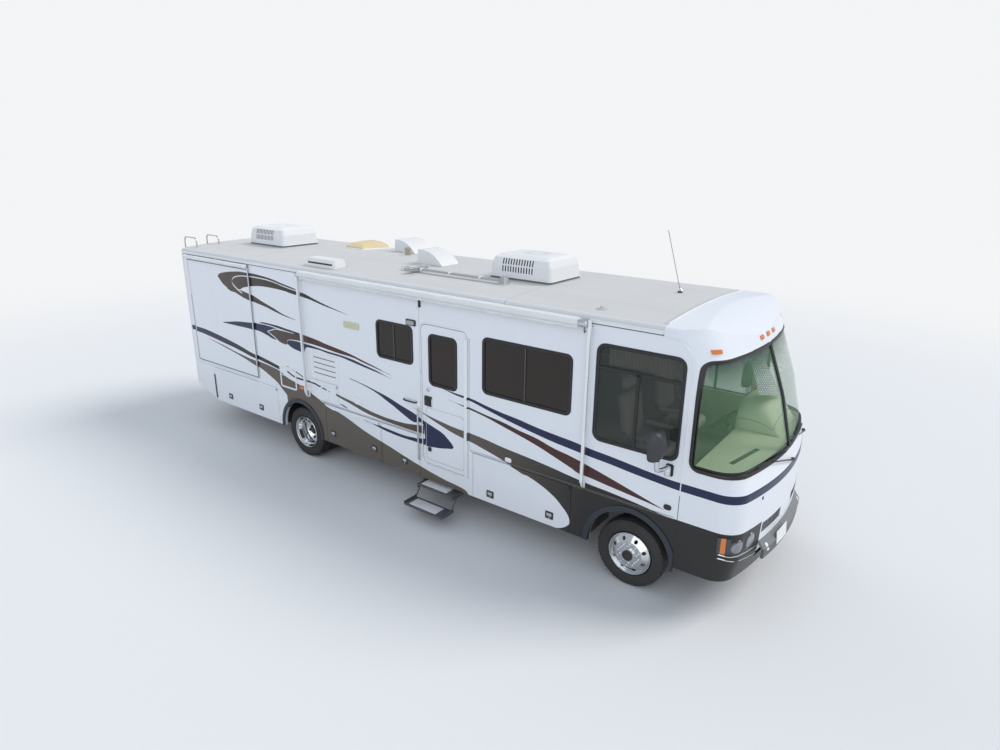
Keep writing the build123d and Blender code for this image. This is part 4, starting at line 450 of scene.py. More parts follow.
# start and end colour, x where the change starts and ends, upper edge, lower edge
BANDS = [
    (TAUPE, TAUPE, 0, 1,
     [(-4.50, 1.605), (-4.25, 1.58), (-4.0, 1.55), (-3.75, 1.51), (-3.5, 1.48), (-3.25, 1.455), (-3.0, 1.44),
      (-2.75, 1.42), (-2.5, 1.385), (-2.31, 1.31), (-2.0, 1.25), (-1.72, 1.17), (-1.35, 1.05), (-1.0, 0.98),
      (-0.5, 0.835), (0.0, 0.73), (0.5, 0.62), (1.0, 0.535), (1.4, 0.49), (1.46, 0.44)],
     [(-4.50, 1.60), (-4.25, 1.565), (-4.0, 1.525), (-3.75, 1.485), (-3.5, 1.44), (-3.25, 1.385), (-3.0, 1.325),
      (-2.75, 1.235), (-2.6, 1.175), (-2.5, 1.10), (-2.4, 1.03), (-2.35, 0.99), (-2.33, 0.30), (1.46, 0.30)]),
    (NAVY, CHARCOAL, -4.6, -3.2,
     [(-5.30, 1.765), (-4.75, 1.765), (-4.5, 1.755), (-4.25, 1.73), (-4.0, 1.70), (-3.75, 1.665), (-3.5, 1.625),
      (-3.25, 1.575), (-3.0, 1.54), (-2.75, 1.505), (-2.5, 1.465)],
     [(-5.30, 1.69), (-4.75, 1.675), (-4.5, 1.655), (-4.25, 1.63), (-4.0, 1.60), (-3.75, 1.575), (-3.5, 1.54),
      (-3.25, 1.50), (-3.0, 1.47), (-2.75, 1.44), (-2.5, 1.405)]),
    (CHARCOAL, NAVY, -2.3, -1.6,
     [(-2.30, 1.51), (-2.07, 1.465), (-1.85, 1.40)], [(-2.30, 1.49), (-2.07, 1.445), (-1.85, 1.38)]),
    (CHARCOAL, NAVY, -2.3, -1.6,
     [(-2.30, 1.43), (-2.0, 1.37), (-1.72, 1.375), (-1.5, 1.345), (-1.27, 1.30)],
     [(-2.30, 1.40), (-2.0, 1.34), (-1.72, 1.345), (-1.5, 1.318), (-1.27, 1.285)]),
    # upper rear swoosh
    (BROWN, CHARCOAL, -3.6, -1.9,
     [(-3.97, 2.775), (-3.90, 2.825), (-3.75, 2.862), (-3.5, 2.90), (-3.25, 2.92), (-3.0, 2.92), (-2.75, 2.91),
      (-2.5, 2.89), (-2.25, 2.85), (-2.0, 2.815), (-1.75, 2.765), (-1.25, 2.655), (-0.75, 2.572)],
     [(-3.97, 2.77), (-3.75, 2.62), (-3.5, 2.555), (-3.44, 2.62), (-3.42, 2.62), (-3.25, 2.665), (-3.0, 2.715),
      (-2.75, 2.74), (-2.5, 2.745), (-2.25, 2.74), (-2.0, 2.715), (-1.75, 2.70), (-1.25, 2.63), (-0.75, 2.57)]),
    (BROWN, CHARCOAL, -3.4, -2.2,
     [(-3.52, 2.58), (-3.42, 2.615), (-3.25, 2.60), (-3.1, 2.575), (-3.0, 2.55), (-2.75, 2.48), (-2.5, 2.42),
      (-2.25, 2.355), (-1.97, 2.315)],
     [(-3.52, 2.56), (-3.25, 2.49), (-3.0, 2.45), (-2.75, 2.42), (-2.5, 2.375), (-2.25, 2.335), (-1.97, 2.31)]),
    (WHITE, WHITE, 0, 1,
     [(-3.555, 2.755), (-3.5, 2.808), (-3.4, 2.84), (-3.25, 2.862), (-3.0, 2.873), (-2.75, 2.873), (-2.5, 2.857),
      (-2.25, 2.822), (-2.0, 2.792), (-1.75, 2.771)],
     [(-3.555, 2.745), (-3.5, 2.79), (-3.4, 2.825), (-3.25, 2.848), (-3.0, 2.857), (-2.75, 2.857), (-2.5, 2.843),
      (-2.25, 2.808), (-2.0, 2.778), (-1.75, 2.759)]),
    (WHITE, WHITE, 0, 1,
     [(-3.565, 2.755), (-3.55, 2.715), (-3.45, 2.642), (-3.30, 2.575)],
     [(-3.565, 2.745), (-3.55, 2.69), (-3.45, 2.618), (-3.30, 2.555)]),
    # middle swoosh
    (NAVY, NAVY, 0, 1,
     [(-3.97, 1.98), (-3.75, 2.02), (-3.5, 2.06), (-3.25, 2.085), (-3.0, 2.108), (-2.75, 2.15), (-2.5, 2.15),
      (-2.25, 2.135), (-2.0, 2.12), (-1.75, 2.10), (-1.5, 2.078), (-1.3, 2.05)],
     [(-3.97, 1.972), (-3.5, 1.98), (-3.25, 1.985), (-3.0, 1.98), (-2.75, 1.945), (-2.5, 1.905), (-2.45, 1.99),
      (-2.25, 2.09), (-2.0, 2.085), (-1.75, 2.08), (-1.5, 2.065), (-1.3, 2.045)]),
    (BROWN, MAROON, -2.6, -1.4,
     [(-2.70, 2.015), (-2.6, 2.05), (-2.5, 2.08), (-2.25, 2.085), (-2.0, 2.085), (-1.72, 2.088), (-1.5, 2.070),
      (-1.25, 2.045), (-1.0, 2.02), (-0.75, 1.99), (-0.5, 1.945), (-0.25, 1.90), (0.0, 1.85), (0.08, 1.838)],
     [(-2.70, 2.005), (-2.6, 1.965), (-2.5, 1.92), (-2.25, 1.87), (-2.22, 1.95), (-2.0, 1.985), (-1.72, 1.99),
      (-1.5, 1.985), (-1.25, 1.97), (-1.0, 1.955), (-0.75, 1.95), (-0.5, 1.915), (-0.25, 1.88), (0.08, 1.833)]),
    (WHITE, WHITE, 0, 1,
     [(-3.0, 2.112), (-2.75, 2.122), (-2.5, 2.112), (-2.25, 2.097), (-2.05, 2.09)],
     [(-3.0, 2.10), (-2.75, 2.108), (-2.5, 2.098), (-2.25, 2.083), (-2.05, 2.082)]),
    (WHITE, WHITE, 0, 1,
     [(-2.73, 2.018), (-2.6, 2.062), (-2.5, 2.09), (-2.25, 2.095)],
     [(-2.73, 2.008), (-2.6, 2.048), (-2.5, 2.078), (-2.25, 2.083)]),
    (WHITE, WHITE, 0, 1,
     [(-2.73, 2.018), (-2.6, 1.97), (-2.48, 1.918)], [(-2.73, 2.004), (-2.6, 1.954), (-2.48, 1.902)]),
    (NAVY, NAVY, 0, 1,
     [(-2.23, 1.90), (-2.2, 1.95), (-2.0, 1.97), (-1.72, 1.965), (-1.5, 1.955), (-1.25, 1.94), (-1.0, 1.935),
      (-0.75, 1.92), (-0.5, 1.885), (-0.25, 1.85), (0.0, 1.80), (0.08, 1.787)],
     [(-2.23, 1.89), (-2.1, 1.84), (-2.0, 1.825), (-1.87, 1.815), (-1.80, 1.86), (-1.72, 1.92), (-1.5, 1.925),
      (-1.25, 1.91), (-1.0, 1.905), (-0.75, 1.88), (-0.5, 1.85), (-0.25, 1.825), (0.0, 1.795), (0.08, 1.783)]),
    # teardrop at the door
    (NAVY, NAVY, 0, 1,
     [(-0.8, 1.615), (-0.5, 1.58), (-0.25, 1.54), (0.0, 1.495), (0.25, 1.43), (0.5, 1.37), (0.70, 1.30),
      (0.9, 1.245), (1.0, 1.215), (1.1, 1.155), (1.17, 1.10), (1.205, 1.06)],
     [(-0.8, 1.605), (-0.5, 1.565), (-0.25, 1.51), (0.0, 1.42), (0.1, 1.385), (0.25, 1.32), (0.35, 1.28),
      (0.43, 1.25), (0.5, 1.24), (0.62, 1.27), (0.68, 1.20), (0.72, 0.945), (0.85, 0.96), (1.0, 0.985),
      (1.1, 1.01), (1.18, 1.03), (1.205, 1.055)]),
    (TAUPE, BROWN, -1.1, 0.6,
     [(-1.13, 1.30), (-1.0, 1.28), (-0.75, 1.25), (-0.5, 1.21), (-0.25, 1.18), (0.0, 1.17), (0.25, 1.175),
      (0.5, 1.205), (0.68, 1.235)],
     [(-1.13, 1.265), (-1.0, 1.24), (-0.75, 1.195), (-0.5, 1.145), (-0.25, 1.12), (0.5, 1.105), (0.68, 1.11)]),
    (NAVY, NAVY, 0, 1,
     [(-1.05, 1.158), (-0.96, 1.145), (-0.88, 1.12)], [(-1.05, 1.15), (-0.96, 1.122), (-0.88, 1.11)]),
    (NAVY, NAVY, 0, 1,
     [(-0.5, 1.032), (-0.25, 1.015), (0.0, 1.0), (0.25, 0.99), (0.5, 1.01), (0.70, 1.05)],
     [(-0.5, 1.028), (-0.25, 0.985), (0.0, 0.955), (0.25, 0.945), (0.5, 0.95), (0.70, 0.95)]),
    # front taupe band and skirt, in one paint; their fade to charcoal towards the nose is painted shade
    (TAUPE, CHARCOAL, 1.5, 3.2,
     [(0.48, 1.456), (0.75, 1.405), (1.0, 1.37), (1.25, 1.345), (1.5, 1.335), (1.75, 1.315), (2.0, 1.285),
      (2.25, 1.265), (2.5, 1.245), (2.75, 1.22), (3.0, 1.19), (3.25, 1.165), (3.5, 1.15), (3.75, 1.13),
      (4.0, 1.105), (4.3, 1.083), (5.4, 1.083)],
     [(0.48, 1.452), (0.62, 1.42), (0.75, 1.38), (1.0, 1.31), (1.25, 1.25), (1.5, 1.215), (1.75, 1.165),
      (2.0, 1.11), (2.3, 1.03), (2.5, 0.975), (2.75, 0.87), (2.9, 0.76), (2.98, 0.68), (3.02, 0.60), (3.03, 0.3),
      (5.4, 0.3)]),
    (TAUPE, CHARCOAL, 1.5, 3.2,
     [(2.55, 0.35), (2.75, 0.42), (2.9, 0.465), (3.0, 0.54), (3.05, 0.62)],
     [(2.55, 0.30), (2.75, 0.30), (2.9, 0.30), (3.0, 0.30), (3.05, 0.30)]),
    (CHARCOAL, MAROON, 1.3, 2.3,
     [(1.13, 1.72), (1.25, 1.70), (1.45, 1.69), (1.75, 1.65), (2.0, 1.62), (2.25, 1.575), (2.5, 1.54), (2.75, 1.48),
      (3.0, 1.44), (3.25, 1.385), (3.5, 1.325), (3.75, 1.26), (4.0, 1.195), (4.17, 1.15)],
     [(1.13, 1.715), (1.35, 1.68), (1.75, 1.62), (2.0, 1.565), (2.25, 1.51), (2.5, 1.45), (2.75, 1.375),
      (3.0, 1.295), (3.12, 1.255), (3.22, 1.25), (3.5, 1.22), (3.75, 1.195), (4.0, 1.17), (4.17, 1.148)]),
    (NAVY, NAVY, 0, 1,
     [(1.03, 1.847), (1.25, 1.83), (1.45, 1.82), (1.75, 1.775), (2.0, 1.74), (2.25, 1.715), (2.5, 1.68),
      (2.75, 1.655), (3.0, 1.635), (3.25, 1.605), (3.5, 1.585), (3.75, 1.56), (4.0, 1.535), (4.32, 1.517),
      (5.4, 1.517)],
     [(1.03, 1.843), (1.25, 1.805), (1.45, 1.785), (1.75, 1.725), (2.0, 1.675), (2.25, 1.63), (2.5, 1.59),
      (2.75, 1.555), (3.0, 1.53), (3.25, 1.508), (3.5, 1.49), (3.75, 1.465), (4.0, 1.445), (4.32, 1.425),
      (5.4, 1.423)]),
]


def drawn_edge(f, x, points):
    """The edge's height at x, from a curve through its points."""
    x0, x1 = points[0][0], points[-1][0]
    heights = [p[1] for p in points]
    low, high = min(heights) - 0.01, max(heights) + 0.01
    line = [((u - x0) / (x1 - x0), (v - low) / (high - low)) for u, v in points]
    share = f.node("FloatCurve", {"curve": line}, {"Factor": 1.0, "Value": (x - x0) / (x1 - x0)})
    return share * (high - low) + low


def gelcoat(name, inside):
    """White gelcoat with the bands laid over it, and the inner face of a wall in cabin cloth colour."""
    f = Finish(name)
    x, y, z = f.place()
    cloud = f.noise(0.9, 4.0)
    streaks = f.noise(5.0, 3.0, 0.6, (1.0, 1.0, 0.06))
    low = f.node("MapRange", {}, {"Value": z, "From Min": 1.3, "From Max": 0.4})
    colour = f.mix(streaks * 0.10 + low * cloud * 0.25, WHITE, (0.52, 0.50, 0.46))
    for first, last, fade0, fade1, upper, lower in BANDS:
        left = max(upper[0][0], lower[0][0])
        far = min(upper[-1][0], lower[-1][0])
        mask = (z < drawn_edge(f, x, upper)) * (z > drawn_edge(f, x, lower)) * (x > left) * (x < far)
        if first == last:
            ink = first
        else:
            ink = f.mix(f.node("MapRange", {}, {"Value": x, "From Min": fade0, "From Max": fade1}), first, last)
        colour = f.mix(mask, colour, ink)
    if inside:
        at_arch = (abs(x - FRONT_AXLE_X) < 0.577) | (abs(x - REAR_AXLE_X) < 0.527)
        lips = (abs(y) > 1.2703) * (z < 1.046) * at_arch
        colour = f.mix(lips, colour, LIP)
        hidden = (abs(y) < 1.232) * (x > -5.03)
        colour = f.mix(hidden, colour, INNER)
    else:
        chin = (abs(y) < 0.7425) * (z > 0.845) * (z < 1.085) * (x > 4.9)
        colour = f.mix(chin, colour, WHITE)
    wave = f.noise(1.4, 2.0)
    return f.principled({
        "Base Color": colour, "Roughness": cloud * 0.12 + 0.28, "Specular IOR Level": 0.30, "Coat Weight": 0.15,
        "Coat Roughness": 0.12, "Normal": f.bump(wave, 0.004, 0.2),
    })


wall_paint = gelcoat("wall_paint", True)
nose_paint = gelcoat("nose_paint", False)
dress(wall_paint, "right_wall", "left_wall", "rear_wall", "slide_room", "entry_door", "utility_door",
      *[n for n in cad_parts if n.startswith("locker_door")])
dress(nose_paint, "front_cap", "front_valance")


# Window frames: black extruded aluminium clamped round each pane of dark sliding glass, with thin grey
# centre bars, and a wider black bar across and up each cab window.

def rounded(u0, u1, v0, v1, r, steps=6):
    """A rounded rectangle as a closed loop of points, counter-clockwise."""
    a = np.linspace(0, math.pi / 2, steps)
    corners = [(u1 - r, v0 + r, -1), (u1 - r, v1 - r, 0), (u0 + r, v1 - r, 1), (u0 + r, v0 + r, 2)]
    arcs = [np.stack([u + r * np.cos(a + k * math.pi / 2), v + r * np.sin(a + k * math.pi / 2)], -1)
            for u, v, k in corners]
    return np.concatenate(arcs)


def along(path, section, place, closed=False):
    """Rings of a section carried along a path on a surface.

    The section is (sideways, stand-off) pairs with sideways to the path's right, and place() turns the
    path's two coordinates and the stand-off into a point.
    """
    path = np.asarray(path, float)
    section = np.asarray(section, float)
    if closed:
        ahead = np.roll(path, -1, 0) - np.roll(path, 1, 0)
        path, ahead = np.concatenate([path, path[:1]]), np.concatenate([ahead, ahead[:1]])
    else:
        ahead = np.gradient(path, axis=0)
    ahead = ahead / np.linalg.norm(ahead, axis=1, keepdims=True)
    across = np.stack([ahead[:, 1], -ahead[:, 0]], -1)
    at = path[:, None, :] + across[:, None, :] * section[None, :, :1]
    return place(at[..., 0], at[..., 1], np.broadcast_to(section[None, :, 1], at.shape[:2]))


def strip(half, base, top):
    """The section of a flat strip: its four edges as (sideways, stand-off) pairs."""
    return [(-half, base), (-half, top), (half, top), (half, base)]


def chip(u0, u1, v0, v1, height, place, r=0.008, bevel=0.003):
    """Rings of a small plate with a rolled edge, standing on a surface."""
    rings = []
    for inset, out in ((0.0, -0.002), (0.0, height - bevel), (bevel * 0.3, height - bevel * 0.3), (bevel, height)):
        loop = rounded(u0 + inset, u1 - inset, v0 + inset, v1 - inset, max(r - inset, 0.0008), 5)
        rings.append(place(loop[:, 0], loop[:, 1], np.full(len(loop), out)))
    return np.stack(rings)


HALF_WIDTH, REAR_X = 1.270, -5.070


def on_side(side):
    """Places (x, z, stand-off) on a side wall."""
    def place(u, v, out):
        return np.stack(np.broadcast_arrays(u, side * (HALF_WIDTH + out), v), -1)
    return place


def on_rear(u, v, out):
    """Places (y, z, stand-off) on the rear wall."""
    return np.stack(np.broadcast_arrays(REAR_X - out, u, v), -1)


gasket_and_shade_black = coating("gasket_and_shade_black", (0.014, 0.014, 0.015), 0.42, 0.0, 0.3)
bright = coating("bright", (0.62, 0.63, 0.65), 0.25, 1.0, 0.25)
FRAME = [(-0.017, -0.0075), (-0.017, 0.004), (-0.011, 0.0075), (0.014, 0.0075), (0.022, 0.0035), (0.022, -0.002)]
BAR_BASE, BAR_TOP = -0.009, 0.003
# body, side, x0, x1, z0, z1, corner radius, x of the upright bar, height of the cross bar
PANES = [
    ("coach", -1, 3.270, 4.243, 1.750, 2.842, 0.085, 3.750, 2.590),
    ("coach", -1, 1.700, 2.942, 1.948, 2.640, 0.060, 2.320, 0),
    ("coach", -1, -0.168, 0.492, 2.080, 2.582, 0.060, 0.155, 0),
    ("entry_door", -1, 0.805, 1.257, 1.868, 2.536, 0.062, 0, 0),
    ("coach", 1, 3.270, 4.243, 1.750, 2.842, 0.085, 3.750, 2.590),
    ("coach", 1, 1.500, 2.742, 1.948, 2.640, 0.060, 2.121, 0),
    ("coach", 1, -0.600, 0.642, 1.948, 2.640, 0.060, 0.021, 0),
    ("coach", 1, -2.250, -1.750, 2.180, 2.582, 0.060, 0, 0),
    ("coach", 1, -4.500, -3.500, 1.998, 2.640, 0.060, -4.0, 0),
]
rims, black_bars, grey_bars = {"coach": [], "entry_door": []}, [], []
for body, side, x0, x1, z0, z1, r, upright, cross in PANES:
    place = on_side(side)
    rims[body].append(along(rounded(x0, x1, z0, z1, r), FRAME, place, True))
    bars, half = (black_bars, 0.018) if cross else (grey_bars, 0.007)
    if cross:
        bars.append(along([(x0, cross), (x1, cross)], strip(half, BAR_BASE, BAR_TOP), place))
    if upright:
        bars.append(along([(upright, z0), (upright, cross or z1)], strip(half, BAR_BASE, BAR_TOP), place))
rims["coach"].append(along(rounded(-0.450, 0.450, 2.150, 2.600, 0.060), FRAME, on_rear, True))
shell("window_frames", rims["coach"] + black_bars, "coach", gasket_and_shade_black)
shell("door_window_frame", rims["entry_door"], "entry_door", gasket_and_shade_black)
shell("window_bars", grey_bars, "coach", coating("bar_grey", (0.085, 0.080, 0.078), 0.4, 0.2))

f = Finish("window_glass")
x, y, z = f.place()
clear = x > 3.2
haze = f.noise(2.5)
window_glass = f.principled({
    "Base Color": f.mix(clear, (0.024, 0.018, 0.014), (0.05, 0.06, 0.055)), "Roughness": haze * 0.03 + 0.02,
    "Alpha": 0.95 - clear * 0.53, "Specular IOR Level": 0.35,
})
dress(window_glass, "side_glass", "entry_door_glass")


# Windscreen: two bent panes of green-tinted laminated glass in one thick black rubber seal, with a centre
# post and a thin pale bead where the seal meets the moulding.

# height, nose x, corner radius of the moulding's plan sections
NOSE = np.array([
    (0.500, 5.050, 0.250), (0.760, 5.105, 0.250), (1.080, 5.118, 0.250), (1.500, 5.110, 0.260),
    (1.700, 5.062, 0.290), (2.270, 4.916, 0.360), (2.840, 4.700, 0.430), (3.260, 4.520, 0.430),
])
BOW_R = 4.200


def plan_section(z, out):
    """The moulding's plan section at a height: its bow's centre, corner centre and radius, and bow's end."""
    nose = np.interp(z, NOSE[:, 0], NOSE[:, 1]) + out
    corner = np.interp(z, NOSE[:, 0], NOSE[:, 2]) + out * 0.6
    side = HALF_WIDTH + out - corner
    reach = BOW_R - corner
    bow = nose - BOW_R
    return bow, bow + np.sqrt(reach ** 2 - side ** 2), side, corner, np.arcsin(side / reach)


def on_nose(y, z, out):
    """Places (y, z, stand-off) on the moulding: x on the bow inside its end, else on the corner arc."""
    bow, cx, side, corner, end = plan_section(z, out)
    past = np.maximum(np.abs(y) - side, 0.0)
    front = bow + np.sqrt(BOW_R ** 2 - np.asarray(y) ** 2)
    round_x = cx + np.sqrt(np.maximum(corner ** 2 - past ** 2, 0.0))
    x = np.where(np.abs(y) < BOW_R * np.sin(end), front, round_x)
    return np.stack(np.broadcast_arrays(x, y, z), -1)


def on_wrap(sign):
    """Places (arc length from the middle, z, stand-off) on one half of the moulding.

    The arc runs along the bow, then round the corner, then straight back along the side.
    """
    def place(s, z, out):
        bow, cx, side, corner, end = plan_section(z, out)
        s = np.asarray(s, float)
        turn_at = end + np.clip((s - BOW_R * end) / corner, 0.0, math.pi / 2 - end)
        back = np.maximum(s - BOW_R * end - corner * (math.pi / 2 - end), 0.0)
        on_bow = s < BOW_R * end
        x = np.where(on_bow, bow + BOW_R * np.cos(s / BOW_R), cx + corner * np.cos(turn_at) - back)
        y = np.where(on_bow, BOW_R * np.sin(s / BOW_R), side + corner * np.sin(turn_at))
        return np.stack(np.broadcast_arrays(x, sign * y, z), -1)
    return place


def arc_length(x, z):
    """How far round the moulding from its middle a point beside or behind the corner lies."""
    bow, cx, side, corner, end = plan_section(z, 0.0)
    turned_by = np.arccos(np.clip((x - cx) / corner, -1.0, 1.0))
    quarter = BOW_R * end + corner * (math.pi / 2 - end)
    return np.where(x < cx, quarter + cx - x, BOW_R * end + corner * (turned_by - end))


CORNER = 0.090
SIDE_X, LOW_Z, HIGH_Z, POST = 4.390, 1.700, 2.835, 0.012
a = np.linspace(1.5 * math.pi, math.pi, 8)
low_x, low_z = SIDE_X + CORNER + CORNER * np.cos(a), LOW_Z + CORNER + CORNER * np.sin(a)
a = np.linspace(math.pi, 0.5 * math.pi, 8)
high_x, high_z = SIDE_X + CORNER + CORNER * np.cos(a), HIGH_Z - CORNER + CORNER * np.sin(a)
mid_z = np.linspace(LOW_Z + CORNER, HIGH_Z - CORNER, 14)[1:-1]
side_x = np.concatenate([low_x, np.full(len(mid_z), SIDE_X), high_x])
side_z = np.concatenate([low_z, mid_z, high_z])
side_s = arc_length(side_x, side_z)
foot = np.linspace(POST, side_s[0], 24)[:-1]
brow = np.linspace(side_s[-1], POST, 24)[1:]
post_z = np.linspace(HIGH_Z, LOW_Z, 12)[1:-1]
SCREEN_EDGE = np.stack([
    np.concatenate([foot, side_s, brow, np.full(len(post_z), POST)]),
    np.concatenate([np.full(len(foot), LOW_Z), side_z, np.full(len(brow), HIGH_Z), post_z]),
], -1)
SEAL = [(-0.022, -0.014), (-0.022, 0.001), (-0.014, 0.006), (0.010, 0.006), (0.018, 0.002), (0.018, -0.004)]
BEAD = [(0.017, -0.003), (0.017, 0.004), (0.021, 0.0055), (0.025, 0.004), (0.026, -0.003)]
seals, beads = [], []
for sign in (-1, 1):
    seals.append(along(SCREEN_EDGE, SEAL, on_wrap(sign), True))
    beads.append(along(SCREEN_EDGE[5:-20], BEAD, on_wrap(sign)))
post_line = [(0.0, z) for z in np.linspace(LOW_Z - 0.01, HIGH_Z + 0.01, 16)]
seals.append(along(post_line, [(-0.020, -0.010), (-0.020, 0.004), (-0.012, 0.009), (0.012, 0.009), (0.020, 0.004),
                               (0.020, -0.010)], on_nose))
shell("windscreen_seal", seals, "coach", gasket_and_shade_black)
trim_white = coating("trim_white", (0.76, 0.77, 0.78), 0.35, 0.0)
shell("windscreen_bead", beads, "coach", trim_white)

f = Finish("screen_glass")
x, y, z = f.place()
shade = f.node("MapRange", {}, {"Value": z, "From Min": 2.55, "From Max": 2.84})
printed = (z < 1.748) | (x < 4.428)
tint = f.mix(shade, (0.16, 0.32, 0.17), (0.02, 0.05, 0.04))
screen_glass = f.principled({
    "Base Color": f.mix(printed, tint, (0.008, 0.008, 0.008)), "Roughness": f.noise(2.0) * 0.02 + 0.015,
    "Alpha": (shade * 0.50 + 0.18) | printed, "Specular IOR Level": 0.4,
})
dress(screen_glass, "windshield")


# Wipers: black painted steel arms on two spindles below the screen, each holding a rubber blade that lies
# along the foot of the glass.

def tube(points, radius, around=10):
    """Rings of a round bar along points, square to the path; the radius may differ from point to point."""
    points = np.asarray(points, float)
    ahead = np.gradient(points, axis=0)
    ahead /= np.linalg.norm(ahead, axis=1, keepdims=True)
    side = np.cross(ahead, (0.23, 0.41, 0.88))
    side /= np.linalg.norm(side, axis=1, keepdims=True)
    above = np.cross(side, ahead)
    a = np.linspace(0, 2 * math.pi, around, endpoint=False)
    radius = np.broadcast_to(radius, len(points))[:, None, None]
    ring = np.cos(a)[None, :, None] * side[:, None] + np.sin(a)[None, :, None] * above[:, None]
    return points[:, None] + radius * ring


wipers = []
for shift in (0.0, 0.98):
    arm_y = np.array([0.018, -0.10, -0.282, -0.45, -0.60]) + shift
    arm_z = np.array([1.545, 1.585, 1.640, 1.685, 1.722])
    wipers.append(tube(on_nose(arm_y, arm_z, 0.030), [0.011, 0.009, 0.008, 0.007, 0.006]))
    blade_y = np.linspace(-0.914, -0.20, 14) + shift
    wipers.append(along(np.stack([blade_y, 1.753 - 0.062 * (blade_y - shift + 0.914)], -1),
                        [(-0.006, 0.004), (-0.004, 0.024), (0.004, 0.024), (0.006, 0.004)], on_nose))
    wipers.append(turned([(0.022, -0.004), (0.022, 0.022), (0.016, 0.034), (0.001, 0.038)],
                         on_nose(0.018 + shift, 1.545, 0.0), (1, 0, 0.2), 20))
shell("wipers", wipers, "coach", gasket_and_shade_black)


# Front end: the amber lamps' ribbed lenses, the headlamps with dark rims and fluted lenses, two chrome
# strips under them, the slatted grille in body colour and a grey moulded bumper with a blank white plate.
# The strips and the grille's gaps follow the moulding's plan sections.

f = Finish("amber_lens")
x, y, z = f.place()
ribs = (y * 90.0).math("FRACT", y * 90.0)
smoked = (x > 4.762) * (z < 1.10) * ((x < 4.804) | (x > 4.850))
lit_amber = f.mix(f.noise(20.0) * 0.3, (0.62, 0.16, 0.012), (0.80, 0.32, 0.05))
amber = f.principled({
    "Base Color": f.mix(smoked, lit_amber, (0.035, 0.036, 0.040)), "Roughness": 0.14,
    "Coat Weight": 0.6, "Normal": f.bump(ribs, 0.001),
})
dress(amber, "front_lamps")

f = Finish("lamp_glass")
x, y, z = f.place()
ribs = (y * 55.0).math("PINGPONG", y * 55.0, 0.5)
dim = f.noise(9.0)
lamp_glass = f.principled({
    "Base Color": f.mix(dim, (0.42, 0.44, 0.47), (0.13, 0.14, 0.16)), "Metallic": 0.75,
    "Roughness": dim * 0.1 + 0.08, "Coat Weight": 0.8, "Normal": f.bump(ribs, 0.004),
})
dress(lamp_glass, "headlamps")
# y, z and radius of each lamp
LAMPS_AT = [(0.925, 0.925, 0.098), (1.135, 0.915, 0.084)]
LAMP_RIM = [(-0.013, -0.006), (-0.013, 0.001), (-0.006, 0.006), (0.002, 0.005), (0.006, -0.002)]
lamp_rims, lenses = [], []
turn = np.linspace(0, 2 * math.pi, 41)[:-1]
share = np.array([0.90, 0.88, 0.80, 0.60, 0.35, 0.02])[:, None]
rise = np.array([-0.010, -0.003, 0.001, 0.005, 0.007, 0.008])[:, None]
for lamp_y, lamp_z, lamp_r in LAMPS_AT:
    for sign in (-1, 1):
        loop = np.stack([sign * lamp_y + lamp_r * np.cos(turn), lamp_z + lamp_r * np.sin(turn)], -1)
        lamp_rims.append(along(loop, LAMP_RIM, on_nose, True))
        lenses.append(on_nose(sign * lamp_y + lamp_r * share * np.cos(turn), lamp_z + lamp_r * share * np.sin(turn),
                              rise))
shell("headlamp_rims", lamp_rims, "coach", coating("rim_dark", (0.10, 0.10, 0.11), 0.25, 0.8))
shell("headlamp_lenses", lenses, "coach", lamp_glass)

CHROME_LINES = [
    [(1.262, 0.839), (1.235, 0.826), (1.201, 0.818), (1.13, 0.816), (1.06, 0.815), (0.93, 0.806), (0.80, 0.800),
     (0.748, 0.800)],
    [(1.262, 0.793), (1.22, 0.775), (1.18, 0.762), (1.06, 0.740), (0.94, 0.722), (0.85, 0.708), (0.748, 0.696)],
]
HALF_ROUND = [(-0.007, -0.002), (-0.006, 0.004), (0.0, 0.006), (0.006, 0.004), (0.007, -0.002)]
strips = [along(np.array(line) * (sign, 1), HALF_ROUND, on_nose) for sign in (-1, 1) for line in CHROME_LINES]
shell("front_strips", strips, "coach", chrome)

f = Finish("bumper_grey")
x, y, z = f.place()
cloud = f.noise(1.6)
upper = z > 0.757
seam = abs(abs(y) - 0.245) < 0.002
face = f.mix(cloud * 0.4, (0.085, 0.092, 0.10), (0.12, 0.12, 0.12))
top = f.mix(cloud * 0.4, (0.17, 0.18, 0.19), (0.22, 0.22, 0.21))
bumper_grey = f.principled({
    "Base Color": f.mix(seam, f.mix(upper, face, top), (0.01, 0.01, 0.01)),
    "Roughness": cloud * 0.15 + 0.35, "Normal": f.bump(f.noise(120.0), 0.0004),
})
dress(bumper_grey, "front_bumper")
dress(nose_paint, "grille")


def across_nose(y0, y1, z):
    """A level path on the moulding from y0 to y1."""
    return np.stack([np.linspace(y0, y1, 9), np.full(9, z)], -1)


# Dark strips 50 mm behind the grille, and dark strips in its gaps, are painted shade; the small chip is a dark mark
# on the nose.
grille_shade_bits = [along(across_nose(sign * 0.218, sign * 0.719, 0.995), strip(0.062, -0.050, -0.046), on_nose)
           for sign in (-1, 1)]
gap_shade_section = strip(0.0035, -0.004, 0.0012)
for sign in (-1, 1):
    for k in range(5):
        grille_shade_bits.append(along(across_nose(sign * 0.222, sign * 0.715, 0.949 + 0.024 * k), gap_shade_section, on_nose))
grille_shade_bits.append(chip(-0.805, -0.779, 1.358, 1.398, 0.005, on_nose, 0.011))
shell("grille_shade_and_mark", grille_shade_bits, "coach", gasket_and_shade_black)

# height and nose x of the bumper's sections
BUMPER = np.array([(0.646, 5.179), (0.755, 5.185), (0.850, 5.113)])


def on_bumper(y, z, out):
    """Places (y, z, stand-off) on the bumper, whose nose x follows its three sections."""
    nose = np.interp(z, BUMPER[:, 0], BUMPER[:, 1]) + out
    return np.stack(np.broadcast_arrays(nose - BOW_R + np.sqrt(BOW_R ** 2 - np.asarray(y) ** 2), y, z), -1)


